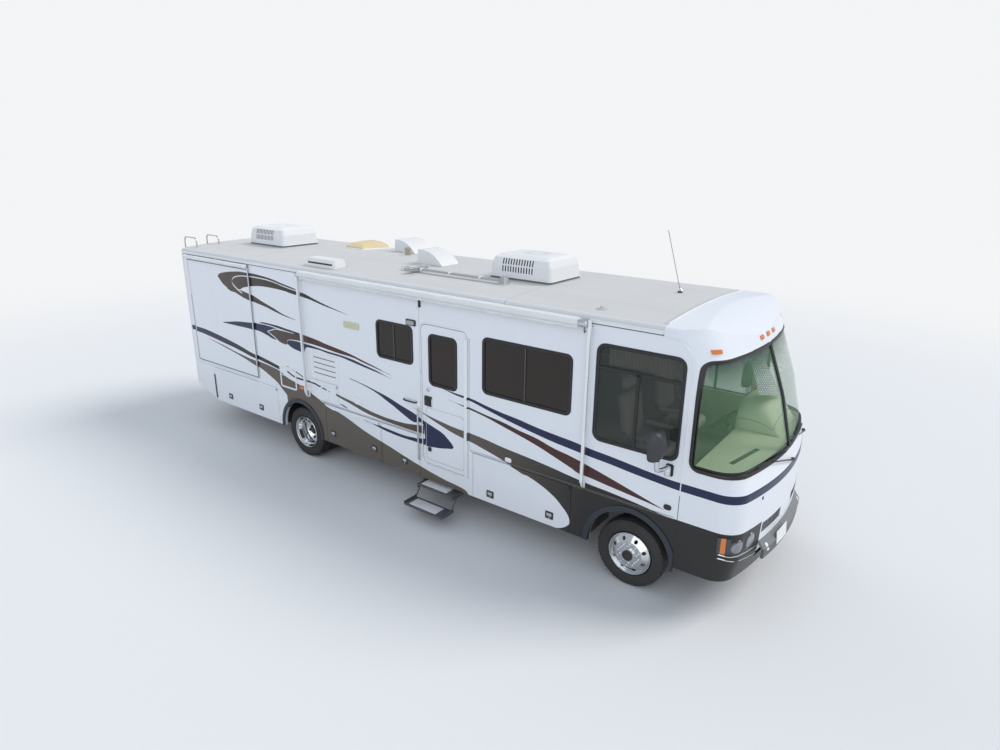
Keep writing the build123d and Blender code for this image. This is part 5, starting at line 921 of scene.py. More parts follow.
plate_line = np.stack([np.linspace(-0.43, -0.12, 8), np.full(8, 0.772)], -1)
plate = along(plate_line, [(-0.076, 0.060), (-0.076, 0.064), (0.076, 0.012), (0.076, 0.008)], on_bumper)
shell("number_plate_blank", [plate], "coach", trim_white)
reflectors = [chip(y - 0.020, y + 0.020, 0.722, 0.800, 0.010, on_bumper, 0.010) for y in (-0.655, 0.655)]
shell("bumper_reflectors", reflectors, "coach", trim_white)


# Belt moulding and seams: ribbed aluminium strips screwed to both walls above the storage doors, painted
# in body colour ahead of the entry door, and black sealant in the joints between the wall's panels.

RIBS = [(-0.013, -0.002), (-0.013, 0.004), (-0.009, 0.007), (-0.005, 0.0045), (0.0, 0.007), (0.005, 0.0045),
        (0.009, 0.007), (0.013, 0.004), (0.013, -0.002)]
BELT_Z = 1.0925
seam_and_shade_black = coating("seam_and_shade_black", (0.020, 0.021, 0.023), 0.6, 0.0)
side_right, side_left = on_side(-1), on_side(1)


def level_run(x0, x1, z, section, place):
    """A section carried level along a wall."""
    return along([(x0, z), (x1, z)], section, place)


# wall and run of each length of moulding
METAL_RUNS = [(side_right, -4.95, -3.17), (side_right, -1.47, 0.62),
              (side_left, -4.95, -2.60), (side_left, -1.47, 4.28)]
metal_runs = [level_run(x0, x1, BELT_Z, RIBS, place) for place, x0, x1 in METAL_RUNS]
painted_runs = [level_run(1.49, 4.28, BELT_Z, RIBS, side_right)]
# Pale lines along the painted run's rib edges are painted highlights.
rib_highlight_lines = [level_run(1.49, 4.28, BELT_Z + rise, strip(0.002, 0.004, 0.008), side_right)
                 for rise in (-0.009, 0.009)]
# Grey lines in the valleys between the bare run's ribs are painted shade.
rib_shade_lines = [level_run(-1.47, 0.62, BELT_Z + rise, strip(0.002, 0.004, 0.0062), side_right)
           for rise in (-0.014, -0.005, 0.005)]
pale_alloy = coating("pale_alloy", (0.80, 0.81, 0.82), 0.30, 0.35, 0.2)
shell("belt_strips", metal_runs, "coach", pale_alloy)
shell("belt_rib_shade", rib_shade_lines, "coach", coating("rib_shade_grey", (0.26, 0.27, 0.29), 0.5, 0.3))
shell("belt_rib_highlights", rib_highlight_lines, "coach", coating("rib_highlight", (0.24, 0.22, 0.19), 0.5, 0.2))
shell("belt_strips_painted", painted_runs, "coach", wall_paint)
# side, x, z0, z1
SEAMS = [(-1, 0.630, 1.11, 3.04), (-1, 1.480, 1.11, 2.60), (-1, -2.615, 1.11, 1.14), (1, 1.480, 1.11, 3.04),
         (1, -1.300, 1.11, 3.04), (1, -3.300, 1.11, 3.04)]
joints = [along([(x, z0), (x, z1)], strip(0.0012, -0.002, 0.0008), on_side(side)) for side, x, z0, z1 in SEAMS]
shell("wall_joints", joints, "coach", seam_and_shade_black)


# Corner mouldings: white extrusions over the walls' rear corners, and the white bead where the walls meet
# the front moulding, which runs up the seam and round its top corner above a plain dark joint.

SEAM_X, SEAM_R = 4.322, 0.250
BEAD_FOOT_Z, BEAD_TURN_Z = 1.37, 2.79
bead_turn = np.linspace(0, math.pi / 2, 14)
SEAM_LINE = np.concatenate([
    np.stack([np.full(16, SEAM_X), np.linspace(BEAD_FOOT_Z, BEAD_TURN_Z, 16)], -1),
    np.stack([SEAM_X - SEAM_R + SEAM_R * np.cos(bead_turn), BEAD_TURN_Z + SEAM_R * np.sin(bead_turn)], -1)[1:],
    [(4.03, BEAD_TURN_Z + SEAM_R), (3.994, BEAD_TURN_Z + SEAM_R)],
])
SEAM_SECTION = [(-0.007, -0.002), (-0.005, 0.004), (0.0, 0.006), (0.005, 0.004), (0.007, -0.002)]
CORNER_SECTION = [(-0.017, -0.002), (-0.017, 0.004), (-0.010, 0.007),
                  (0.010, 0.007), (0.017, 0.004), (0.017, -0.002)]
walls = (side_right, side_left)
beads = [along(SEAM_LINE, SEAM_SECTION, place) for place in walls]
shell("front_seam_bead", beads, "coach", trim_white)
low_joint = [(SEAM_X, 0.47), (SEAM_X, BEAD_FOOT_Z)]
low_joints = [along(low_joint, strip(0.003, -0.002, 0.0015), place) for place in walls]
shell("front_seam_joint", low_joints, "coach", seam_and_shade_black)
corner_strips = [along([(-5.052, 0.66), (-5.052, 3.05)], CORNER_SECTION, place) for place in walls]
shell("rear_corner_strips", corner_strips, "coach", trim_white)


# Storage door latches: black zinc plates with a bright folding paddle, two to a door, set in each door's
# lower half.

# door node, side, x and z of each latch
LATCHES = [
    ("locker_door_right_rear", -1, [(-4.02, 0.605), (-3.11, 0.610)]),
    ("locker_door_right_mid", -1, [(-1.25, 0.610), (-0.335, 0.613)]),
    ("locker_door_right_step", -1, [(0.287, 0.600)]),
    ("locker_door_right_front", -1, [(1.82, 0.565), (2.73, 0.580)]),
    ("locker_door_left_rear", 1, [(-4.02, 0.605), (-3.11, 0.610)]),
    ("locker_door_left_mid", 1, [(-1.10, 0.600), (0.50, 0.600)]),
    ("locker_door_left_front", 1, [(1.15, 0.590), (2.70, 0.590)]),
]
latch_black = coating("latch_black", (0.026, 0.027, 0.030), 0.45, 0.2, 0.4)
for node, side, spots in LATCHES:
    place = on_side(side)
    plates, paddles = [], []
    for x, z in spots:
        plates.append(chip(x - 0.058, x + 0.058, z - 0.050, z + 0.050, 0.006, place, 0.012))
        paddles.append(chip(x - 0.036, x + 0.036, z - 0.016, z + 0.028, 0.011, place, 0.010, 0.004))
        paddles.append(turned([(0.009, 0.004), (0.009, 0.009), (0.006, 0.011), (0.0008, 0.011)],
                              (x, side * HALF_WIDTH, z - 0.034), (0, side, 0), 14))
    shell(f"{node}_latches", plates, node, latch_black)
    shell(f"{node}_paddles", paddles, node, bright)


# Small hatches and fittings on the walls: a louvred refrigerator panel and a fuel hatch in white plastic
# frames, an outlet cover, a range vent, a porch light, marker lamps and the utility door's round trim.

white_bits, dark_bits, lamp_bits = [], [], []
HATCH = [(-0.012, -0.002), (-0.012, 0.005), (-0.004, 0.009), (0.010, 0.009), (0.016, 0.004), (0.016, -0.002)]
white_bits.append(along(rounded(-2.470, -2.090, 1.145, 1.480, 0.030), HATCH, side_right, True))
white_bits.append(chip(-2.455, -2.105, 1.330, 1.342, 0.006, side_right, 0.004))
white_bits.append(along(rounded(-1.640, -1.045, 1.475, 1.880, 0.020), HATCH, side_right, True))
# Each louvre's dark slot below its white lip is painted shade.
for k in range(4):
    z = 1.551 + 0.0825 * k
    dark_bits.append(chip(-1.600, -1.110, z - 0.006, z + 0.008, 0.003, side_right, 0.003, 0.001))
    white_bits.append(chip(-1.605, -1.105, z + 0.008, z + 0.014, 0.010, side_right, 0.002, 0.002))
white_bits.append(along(rounded(-0.700, -0.560, 1.250, 1.335, 0.012), HATCH, side_right, True))
white_bits.append(chip(-0.690, -0.570, 1.260, 1.325, 0.012, side_right, 0.010))
aged = [chip(-0.850, -0.530, 2.380, 2.470, 0.018, side_right, 0.012, 0.006)]
for k in range(5):
    aged.append(chip(-0.825, -0.555, 2.393 + 0.0145 * k, 2.399 + 0.0145 * k, 0.0215, side_right, 0.002, 0.001))
shell("range_vent_cover", aged, "coach", coating("aged_plastic", (0.60, 0.60, 0.42), 0.5, 0.0))
dark_bits.append(chip(0.400, 0.575, 2.610, 2.692, 0.016, side_right, 0.016, 0.006))
porch = [chip(0.418, 0.557, 2.622, 2.680, 0.032, side_right, 0.020, 0.012)]
shell("porch_light", porch, "coach", coating("porch_lens", (0.34, 0.35, 0.36), 0.2, 0.0))
dark_bits.append(chip(0.645, 0.667, 2.880, 2.990, 0.030, side_right, 0.008, 0.006))
white_bits.append(chip(2.050, 2.150, 1.105, 1.165, 0.006, side_right, 0.025))
dark_bits.append(chip(-4.500, -4.458, 0.480, 0.930, 0.004, side_right, 0.004))
for place in walls:
    dark_bits.append(chip(-1.992, -1.868, 1.183, 1.247, 0.006, place, 0.012))
    lamp_bits.append(chip(-1.982, -1.878, 1.192, 1.238, 0.020, place, 0.012, 0.008))
    dark_bits.append(chip(4.160, 4.246, 1.165, 1.225, 0.014, place, 0.026, 0.006))
white_bits.append(along(rounded(-1.500, -0.900, 1.500, 1.900, 0.030), HATCH, side_left, True))
white_bits.append(along(rounded(2.950, 3.180, 1.300, 1.520, 0.030), HATCH, side_left, True))
white_bits.append(chip(2.965, 3.165, 1.315, 1.505, 0.008, side_left, 0.020))
shell("wall_fittings_white", white_bits, "coach", trim_white)
shell("wall_fittings_dark", dark_bits, "coach", seam_and_shade_black)
shell("side_markers", lamp_bits, "coach", amber)
ring_turn = np.linspace(0, 2 * math.pi, 33)[:-1]
UTILITY_X, UTILITY_Z, UTILITY_R = -1.3975, 1.255, 0.095
trim_loop = np.stack([UTILITY_X + UTILITY_R * np.cos(ring_turn), UTILITY_Z + UTILITY_R * np.sin(ring_turn)], -1)
utility_bits = [along(trim_loop, HATCH, side_right, True),
                chip(UTILITY_X - 0.028, UTILITY_X + 0.028, 1.125, 1.150, 0.009, side_right, 0.008)]
shell("utility_trim", utility_bits, "utility_door", trim_white)


# Entry door fittings: an aluminium outline round the doorway, a black latch with a deadbolt above it, a
# raised lower panel, and the bright hinge cover; on the wall a folding assist bar and a grab handle.

doorway = rounded(0.649, 1.451, 0.682, 2.680, 0.098, 8)
outline = np.concatenate([[(1.390, 2.680)], doorway[16:], [(1.390, 0.682)]])
OUTLINE_SECTION = [(-0.004, -0.002), (-0.004, 0.004), (0.006, 0.006), (0.012, 0.003), (0.012, -0.002)]
PRESSED_LINE = [(-0.004, -0.001), (-0.002, 0.004), (0.002, 0.004), (0.004, -0.001)]
HINGE_SECTION = [(-0.016, 0.0205), (-0.016, 0.0220), (0.026, 0.0220), (0.026, 0.0205)]
DEADBOLT = [(0.026, 0.018), (0.026, 0.023), (0.020, 0.026), (0.001, 0.026)]
shell("doorway_outline", [along(outline, OUTLINE_SECTION, side_right)], "coach", pale_alloy)
door_metal = [along(rounded(0.720, 1.385, 0.760, 1.520, 0.050), PRESSED_LINE, side_right, True),
              turned(DEADBOLT, (0.779, -HALF_WIDTH, 1.781), (0, -1, 0), 24)]
door_black = [chip(0.705, 0.835, 1.545, 1.685, 0.017, side_right, 0.014, 0.005),
              chip(0.730, 0.810, 1.575, 1.640, 0.030, side_right, 0.016, 0.008),
              chip(0.752, 0.808, 0.885, 0.945, 0.014, side_right, 0.010)]
shell("door_trim", door_metal, "entry_door", bright)
shell("door_latch", door_black, "entry_door", latch_black)
hinge_face = along([(1.4185, 0.702), (1.4185, 2.578)], HINGE_SECTION, side_right)
shell("door_hinge_cover", [hinge_face], "entry_door", pale_alloy)
bar_z = np.concatenate([[0.70], np.linspace(0.74, 1.46, 12), [1.50]])
bar_out = np.where((bar_z < 0.73) | (bar_z > 1.47), 0.004, 0.040)
assist = [tube(side_right(np.full(len(bar_z), 0.600), bar_z, bar_out), 0.0125, 14)]
grab = tube(side_right(np.array([0.31, 0.325, 0.36, 0.51, 0.545, 0.56]), np.full(6, 1.545),
                       np.array([0.0, 0.022, 0.032, 0.032, 0.022, 0.0])), 0.011, 12)
assist_ends = [chip(0.575, 0.625, 0.665, 0.745, 0.012, side_right, 0.010),
               chip(0.570, 0.630, 1.470, 1.560, 0.016, side_right, 0.012)]
shell("assist_bar", assist, "coach", bright)
shell("assist_bar_ends", assist_ends, "coach", trim_white)
shell("grab_handle", [grab], "coach", latch_black)


# Slide-out trims: the room's white aluminium flange carries a rubber wiper seal all round, and a dark joint
# shows beside it.

SLIDE_FACE_Y = -1.290
SEAL_SECTION = [(-0.010, -0.001), (-0.010, 0.003), (0.0, 0.006), (0.010, 0.003), (0.010, -0.001)]


def on_slide(u, v, out):
    """Places (x, z, stand-off) on the slide-out's outer flange."""
    return np.stack(np.broadcast_arrays(u, SLIDE_FACE_Y - out, v), -1)


flange_edge = rounded(-4.878, -3.076, 1.160, 2.975, 0.006, 3)
flange_trim = along(rounded(-4.862, -3.092, 1.176, 2.959, 0.004, 3), strip(0.006, -0.001, 0.004), on_slide, True)
seal_grey = coating("seal_grey", (0.17, 0.19, 0.23), 0.55, 0.0)
shell("slide_seal", [along(flange_edge, SEAL_SECTION, on_slide, True)], "slide_room", seal_grey)
shell("slide_trim", [flange_trim], "slide_room", trim_white)


# Slide-out topper: a white vinyl blind on a spring roller above the room, held by a white bracket and a
# thin strut at each end.

f = Finish("vinyl")
x, y, z = f.place()
weave = f.noise(700.0, 1.0, 0.5, (1.0, 1.0, 3.0))
soil = f.noise(1.8, 4.0, 0.6, (1.0, 2.0, 0.4))
vinyl = f.principled({
    "Base Color": f.mix(soil * 0.5, (0.78, 0.79, 0.80), (0.52, 0.52, 0.50)), "Roughness": soil * 0.15 + 0.55,
    "Normal": f.bump(weave, 0.0008),
})
TOPPER_Y, TOPPER_Z, TOPPER_L = -1.332, 3.025, 1.78
roll_at = np.linspace(0, TOPPER_L, 60)
roll_r = 0.031 + 0.0010 * np.cos(roll_at * 19.0) + 0.0016 * np.exp(-((roll_at - 0.9) / 0.5) ** 2)
profile = [(0.001, 0.0), (0.030, 0.0)] + list(zip(roll_r, roll_at)) + [(0.030, TOPPER_L), (0.001, TOPPER_L)]
roller = shell("topper_roll", [turned(profile, (-4.867, TOPPER_Y, TOPPER_Z), (1, 0, 0), 28)], "slide_room", vinyl)
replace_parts(roller, "slide_topper")
END_DISC = [(0.001, 0.0), (0.036, 0.0), (0.038, 0.003), (0.036, 0.006), (0.001, 0.006)]
struts = []
for x in (-4.8743, -3.0797):
    for y0, z0 in ((TOPPER_Y - 0.018, 3.000), (SLIDE_FACE_Y - 0.014, 2.345)):
        plate = rounded(y0, SLIDE_FACE_Y + 0.001, z0, 3.046, 0.004, 3)
        struts.append(np.stack([np.insert(plate, 0, at, axis=1) for at in (x - 0.006, x + 0.006)]))
    struts.append(turned(END_DISC, (x - 0.003, TOPPER_Y, TOPPER_Z), (1, 0, 0), 28))
brackets = shell("topper_brackets", struts, "slide_room", trim_white)
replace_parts(brackets, "slide_topper")


# Main awning: white vinyl wound on an aluminium tube at the eave with its scalloped edge hanging free, and
# two arms folded against the wall, the front one bare aluminium and the rear one white and tapered.

AWNING_Y, AWNING_Z = -1.344, 3.065
TUBE_X0, TUBE_X1 = -1.7417, 3.1667
FRONT_ARM_X, REAR_ARM_X = 3.185, -1.760
CAP_L, CRANK_CAP_L = 0.045, 0.11
length = TUBE_X1 - TUBE_X0
roll_at = np.linspace(CAP_L, length - CRANK_CAP_L, 120)
roll_r = 0.0470 + 0.0012 * np.cos(roll_at * 11.0) + 0.0008 * np.sin(roll_at * 37.0)
profile = [(0.001, CAP_L), (0.046, CAP_L), *zip(roll_r, roll_at),
           (0.046, length - CRANK_CAP_L), (0.001, length - CRANK_CAP_L)]
roll = shell("awning_roll", [turned(profile, (TUBE_X0, AWNING_Y, AWNING_Z), (1, 0, 0), 36)], "coach", vinyl)
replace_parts(roll, "awning")
CAP_END = np.array([(0.001, 0.0), (0.048, 0.0), (0.051, 0.004), (0.051, 0.036), (0.048, CAP_L), (0.001, CAP_L)])
crank_end = CAP_END * (1, -2.4) + (0, CRANK_CAP_L)
caps = [turned(CAP_END, (TUBE_X0, AWNING_Y, AWNING_Z), (1, 0, 0), 32),
        turned(crank_end, (TUBE_X1 - CRANK_CAP_L, AWNING_Y, AWNING_Z), (1, 0, 0), 32)]


def channel(x, half_x, y0, y1, z0, z1, taper=1.0):
    """Rings of an upright bar with round corners, its foot's width times taper."""
    rings = []
    for z, share in ((z0, taper), (z0 + 0.2 * (z1 - z0), taper), (z1, 1.0)):
        loop = rounded(x - half_x * share, x + half_x * share, y0, y1, 0.006, 4)
        rings.append(np.insert(loop, 2, z, axis=1))
    return np.stack(rings)


# y and z of an arm's foot, which bends in to the wall
ARM_FOOT = [(AWNING_Y - 0.002, 1.24), (AWNING_Y + 0.004, 1.18), (AWNING_Y + 0.022, 1.14), (AWNING_Y + 0.048, 1.122),
            (-1.271, 1.118)]
FOOT_R = [0.014, 0.014, 0.013, 0.012, 0.012]
arms = {}
for x, taper, inner in ((FRONT_ARM_X, 1.0, 0.013), (REAR_ARM_X, 0.72, 0.012)):
    arms[x] = [channel(x, 0.018, AWNING_Y - 0.018, AWNING_Y + 0.010, 1.200, 3.100, taper),
               channel(x, inner, AWNING_Y + 0.006, AWNING_Y + 0.026, 1.160, 3.060, taper),
               tube(np.insert(ARM_FOOT, 0, x, axis=1), FOOT_R)]
    for z0, z1 in ((1.107, 1.190), (2.935, 3.020)):
        arms[x].append(chip(x - 0.014, x + 0.014, z0, z1, 0.012, side_right, 0.006))
    arms[x].append(turned([(0.001, -0.020), (0.011, -0.020), (0.011, 0.020), (0.001, 0.020)],
                          (x, AWNING_Y - 0.004, 1.40), (1, 0, 0), 16))
    for z in (2.95, 3.00):
        arms[x].append(tube([(x, AWNING_Y + 0.01, z), (x, -1.271, z)], 0.008))
front_arm, rear_arm = arms[FRONT_ARM_X], arms[REAR_ARM_X]
caps.append(turned([(0.001, -0.026), (0.016, -0.026), (0.016, 0.010), (0.001, 0.010)],
                   (FRONT_ARM_X, AWNING_Y, AWNING_Z), (1, 0, 0), 20))
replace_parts(shell("awning_caps", caps, "coach", bright), "awning")
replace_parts(shell("awning_front_arm", front_arm, "coach", pale_alloy), "awning")
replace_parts(shell("awning_rear_arm", rear_arm, "coach", trim_white), "awning")
hook = [(3.120, AWNING_Y, 3.010), (3.120, AWNING_Y - 0.004, 2.980), (3.120, AWNING_Y + 0.006, 2.955),
        (3.120, AWNING_Y + 0.022, 2.962), (3.120, AWNING_Y + 0.026, 2.985)]
shell("awning_hook", [tube(hook, 0.005)], "coach", seam_and_shade_black)
edge_x = np.linspace(TUBE_X0 + 0.06, TUBE_X1 - 0.13, 241)
drop = 0.020 + 0.010 * np.abs(np.sin(edge_x * math.pi / 0.20)) + 0.002 * np.sin(edge_x * 61.0)
sway = 0.004 * np.sin(edge_x * 9.0) + 0.003 * np.sin(edge_x * 23.0)
share = np.linspace(0.0, 1.0, 5)[:, None]
hang = np.stack(np.broadcast_arrays(edge_x, AWNING_Y - 0.010 + sway * share, AWNING_Z - 0.044 - drop * share), -1)
flap = shell("awning_valance", [hang], "coach", vinyl, ends=False, closed=False)
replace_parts(flap, "awning")


# Roof: a pale grey rubber membrane glued over plywood, turned down over bluish-grey shoulders to a white
# gutter, with sealant beads round everything that stands on it.

ROOF_TOP_Z, ROOF_DROP, ROOF_HALF = 3.200, 0.050, 1.195
ROOF_CROWN = (ROOF_HALF ** 2 + ROOF_DROP ** 2) / (2 * ROOF_DROP)


def on_roof(x, y, out):
    """Places (x, y, stand-off) on the crowned roof, an arc that drops 50 mm at 1.195 m from its middle."""
    z = ROOF_TOP_Z - ROOF_CROWN + np.sqrt(ROOF_CROWN ** 2 - np.asarray(y, float) ** 2) + out
    return np.stack(np.broadcast_arrays(x, y, z), -1)


f = Finish("membrane")
x, y, z = f.place()
cloud = f.noise(1.1, 5.0)
streak = f.noise(3.0, 4.0, 0.6, (0.25, 1.6, 1.0))
edge = f.node("MapRange", {}, {"Value": abs(y), "From Min": 1.15, "From Max": 1.20})
lap = abs(abs(x + 0.55) - 2.55) < 0.004
top = f.mix(cloud * 0.55 * streak, (0.58, 0.585, 0.585), (0.40, 0.39, 0.37))
# The thin dark line where the membrane turns down is painted shade; the laps are its real seams.
fold_shade_line = abs(abs(y) - 1.19) < 0.004
membrane = f.principled({
    "Base Color": f.mix(lap | fold_shade_line, f.mix(edge, top, (0.60, 0.61, 0.62)), (0.36, 0.36, 0.36)),
    "Roughness": cloud * 0.15 + 0.62, "Normal": f.bump(f.noise(300.0, 2.0), 0.0006),
})
dress(membrane, "roof")
sealant = coating("sealant", (0.50, 0.50, 0.48), 0.7, 0.0, grain=0.003)
GUTTER_LIP = [(-0.004, -0.010), (-0.006, 0.010), (-0.002, 0.015), (0.003, 0.013), (0.004, -0.010)]
# Grey strips below the gutter lips are painted shadow.
gutter_shadow_lines = [level_run(-5.02, 3.99, 3.057, strip(0.006, -0.002, 0.006), place) for place in walls]
gutter_lines = [level_run(-5.03, 3.99, 3.094, GUTTER_LIP, place) for place in walls]
shell("gutter_shadow_gaps", gutter_shadow_lines, "coach", coating("gutter_shadow_grey", (0.13, 0.13, 0.14), 0.6, 0.0))
shell("gutter_lips", gutter_lines, "coach", trim_white)
CAP_BEAD = [(-0.010, -0.004), (-0.008, 0.006), (0.0, 0.009), (0.008, 0.006), (0.010, -0.004)]
cap_bead = along([(3.985, y) for y in np.linspace(-1.16, 1.16, 25)], CAP_BEAD, on_roof)
shell("cap_bead", [cap_bead], "coach", trim_white)
# x0, x1, y0, y1 of everything that stands on the roof
COOLERS = [(1.085, 2.060, -0.360, 0.400), (-4.360, -3.385, -0.360, 0.400)]
FRIDGE_VENT = (-1.810, -1.130, -1.140, -0.890)
SKYLIGHT = (-2.760, -2.250, 0.420, 1.090)
HOODS = [(-1.760, -1.270, 0.690, 1.150), (-0.460, 0.050, -0.130, 0.250)]
MAST_FOOT = (1.440, 1.580, -0.665, -0.545)
FEET = COOLERS + [FRIDGE_VENT, SKYLIGHT] + HOODS + [MAST_FOOT]
BEAD_LOW = [(-0.004, -0.004), (0.002, 0.010), (0.012, 0.008), (0.020, -0.003)]
FLAT_SEAM = [(-0.025, -0.002), (-0.018, 0.003), (0.018, 0.003), (0.025, -0.002)]
caulk = [along(rounded(*foot, 0.040), BEAD_LOW, on_roof, True) for foot in FEET]
caulk += [along([(x, y) for y in (-1.17, -0.6, 0.0, 0.6, 1.17)], FLAT_SEAM, on_roof) for x in (3.955, -5.020)]
shell("roof_sealant", caulk, "coach", sealant)


# Air conditioners: two white moulded shells over dark steel base pans, with intake slots in the rear of
# each right face; the slots are real holes in the part.

def in_louvres(x, y, z, x0):
    """1 inside the intake slots of a cover that starts at x0: behind the right face, whose two slopes are lines."""
    low_face = -0.360 + (z - 3.194) * (0.018 / 0.208)
    high_face = -0.342 + (z - 3.4025) * (0.027 / 0.081)
    behind = (y > (low_face | high_face) + 0.0025) * (y < -0.290)
    return behind * (z > 3.300) * (z < 3.4795) * (x > x0 + 0.20) * (x < x0 + 0.70)


f = Finish("cover_white")
x, y, z = f.place()
cloud = f.noise(2.4, 4.0)
# A mottled darker ring near the middle of the front cooler's top.
dark_ring_at = (x - 1.60) * (x - 1.60) + (y - 0.02) * (y - 0.02)
ring = abs(dark_ring_at.math("SQRT", dark_ring_at) - 0.13) < 0.055
dull = f.mix(cloud * 0.25, (0.76, 0.765, 0.77), (0.60, 0.60, 0.58))
dull = f.mix(ring * (z > 3.5) * f.noise(9.0) * 0.55, dull, (0.42, 0.42, 0.42))
pan = (z < 3.232) * (abs(y) < 0.43)
# Inside the slots the cover is painted near black, as shade.
slots = in_louvres(x, y, z, COOLERS[0][0]) | in_louvres(x, y, z, COOLERS[1][0])
cover_white = f.principled({
    "Base Color": f.mix(slots, f.mix(pan, dull, (0.15, 0.155, 0.16)), (0.055, 0.058, 0.062)),
    "Roughness": cloud * 0.2 + 0.36, "Normal": f.bump(f.noise(90.0), 0.0006),
})
dress(cover_white, "air_conditioners")


def grown(foot, by):
    """A foot's x0, x1, y0, y1, moved out by a distance on all sides."""
    return foot[0] - by, foot[1] + by, foot[2] - by, foot[3] + by


COVER_JOINT = [(-0.004, 0.036), (0.003, 0.036), (0.006, 0.042), (0.003, 0.048), (-0.004, 0.048)]
COVER_SCREW = [(0.008, -0.006), (0.008, 0.004), (0.005, 0.006), (0.0008, 0.006)]
cover_bits = []
for foot in COOLERS:
    cover_bits.append(along(rounded(*grown(foot, 0.003), 0.047), COVER_JOINT, on_roof, True))
    x0, x1, y0, y1 = foot
    for screw_x in (x0 + 0.12, x1 - 0.12):
        for screw_y, way in ((y0 + 0.002, -1), (y1 - 0.002, 1)):
            cover_bits.append(turned(COVER_SCREW, (screw_x, screw_y, 3.272), (0, way, 0), 12))
shell("cooler_joints", cover_bits, "coach", trim_white)


# Roof vents: white sheet-metal hoods over the fans, a low refrigerator vent with a dark slot, a cream
# acrylic skylight dome, and the yellowed plastic cap of the drain's vent pipe.

f = Finish("vent_finish")
x, y, z = f.place()
cloud = f.noise(3.0, 4.0)
dome = (x < -2.24) * (y > 0.3)
stub = (abs(x + 1.260) < 0.06) * (abs(y - 0.503) < 0.06)
fridge = y < -0.8
# The refrigerator vent's slot is a near-black band painted on as shade.
slot = fridge * (abs(z - 3.215) < 0.012) * (abs(x + 1.47) < 0.27)
paint = f.mix(cloud * 0.25, (0.74, 0.745, 0.75), (0.58, 0.575, 0.56))
paint = f.mix(dome, paint, (0.66, 0.54, 0.32))
paint = f.mix(stub, paint, (0.36, 0.33, 0.24))
vent_finish = f.principled({
    "Base Color": f.mix(slot, paint, (0.014, 0.014, 0.014)), "Roughness": cloud * 0.2 + 0.34,
    "Normal": f.bump(f.noise(60.0), 0.0008),
})
dress(vent_finish, "roof_vents")
vent_bits = []
for (x0, x1, y0, y1), rise in zip(HOODS, (0.220, 0.215)):
    middle = (y0 + y1) / 2
    crest = float(on_roof(0.0, middle, rise)[2])
    arc = np.linspace(0.03, 0.97, 12)
    hood_x = x0 + 0.025 + arc * (x1 - x0 - 0.025)
    hood_z = crest - rise * (arc ** 1.9)
    for y in (y0 + 0.004, y1 - 0.004, middle):
        vent_bits.append(tube(np.stack([hood_x, np.full(12, y), hood_z + 0.001], -1), 0.0045, 8))
    vent_bits.append(tube([(x0 - 0.001, y, crest - rise * 0.45) for y in (y0 + 0.01, y1 - 0.01)], 0.005))
shell("hood_ribs", vent_bits, "coach", trim_white)
PIPE_X, PIPE_Y, PIPE_HIGH = -1.260, 0.503, 0.110
PIPE_CAP = [(0.0480, -0.030), (0.0520, -0.028), (0.0530, 0.0), (0.0470, 0.012), (0.0300, 0.020), (0.0010, 0.023)]
pipe_cap = turned(PIPE_CAP, on_roof(PIPE_X, PIPE_Y, PIPE_HIGH), (0, 0, 1), 28)
shell("vent_pipe_cap", [pipe_cap], "coach", vent_finish)
DOME_RIM = [(-0.030, -0.004), (-0.028, 0.014), (-0.004, 0.016), (0.004, 0.006), (0.004, -0.004)]
dome_rim = along(rounded(*grown(SKYLIGHT, 0.015), 0.055), DOME_RIM, on_roof, True)
shell("skylight_rim", [dome_rim], "coach", trim_white)


# Antennas: a grey folded television mast held by white clips, a black whip on a chromed ball foot, and the
# sealed plug over an unused cable hole.

f = Finish("antenna_finish")
x, y, z = f.place()
whip_part = x > 3.0
clips = (abs(y + 0.620) < 0.034) * (abs(x + 0.250) < 0.034)
antenna_finish = f.principled({
    "Base Color": f.mix(clips, f.mix(whip_part, (0.46, 0.47, 0.48), (0.05, 0.05, 0.052)), (0.72, 0.72, 0.72)),
    "Metallic": 0.6 - clips * 0.6, "Roughness": f.noise(8.0) * 0.2 + 0.30,
})
dress(antenna_finish, "antennas")
MAST_Y = -0.620
mast_z = float(on_roof(0.0, MAST_Y, 0.045)[2])
CLIP = np.array([(-0.027, -0.019), (0.027, -0.019), (0.030, -0.012), (0.030, 0.014), (0.024, 0.020),
                 (-0.024, 0.020), (-0.030, 0.014), (-0.030, -0.012)])
mast_bits = [np.stack([np.insert(CLIP + (MAST_Y, mast_z), 0, at, axis=1) for at in (x - 0.018, x + 0.018)])
             for x in (0.10, 0.62, 1.14)]
for y in (-0.79, -0.70, -0.54, -0.45):
    mast_bits.append(tube([(-0.06, y, mast_z + 0.030), (0.08, y, mast_z + 0.030)], 0.006, 8))
shell("mast_clips", mast_bits, "coach", trim_white)
BALL_FOOT = [(0.030, 0.026), (0.030, 0.034), (0.022, 0.044), (0.016, 0.052), (0.008, 0.060), (0.006, 0.085),
             (0.003, 0.090)]
whip_ball = turned(BALL_FOOT, (3.506, 0.288, 3.194), (0, 0, 1), 24)
shell("whip_ball", [whip_ball], "coach", chrome)
PLUG_X, PLUG_Y = 3.144, -1.006
PLUG = [(0.062, -0.004), (0.060, 0.008), (0.046, 0.012), (0.030, 0.010), (0.022, 0.030), (0.001, 0.034)]
roof_plug = turned(PLUG, on_roof(PLUG_X, PLUG_Y, 0.0), (0, 0, 1), 28)
shell("roof_plug", [roof_plug], "coach", sealant)


# Mirrors: dark grey moulded heads, rounded in front and flat behind round their convex glass, on chromed
# elbows whose feet are bolted to the cab wall over a black pad.

HEAD_BACK_X, HEAD_Y, HEAD_Z = 4.056, 1.500, 1.962
HEAD_HALF = (0.124, 0.176)


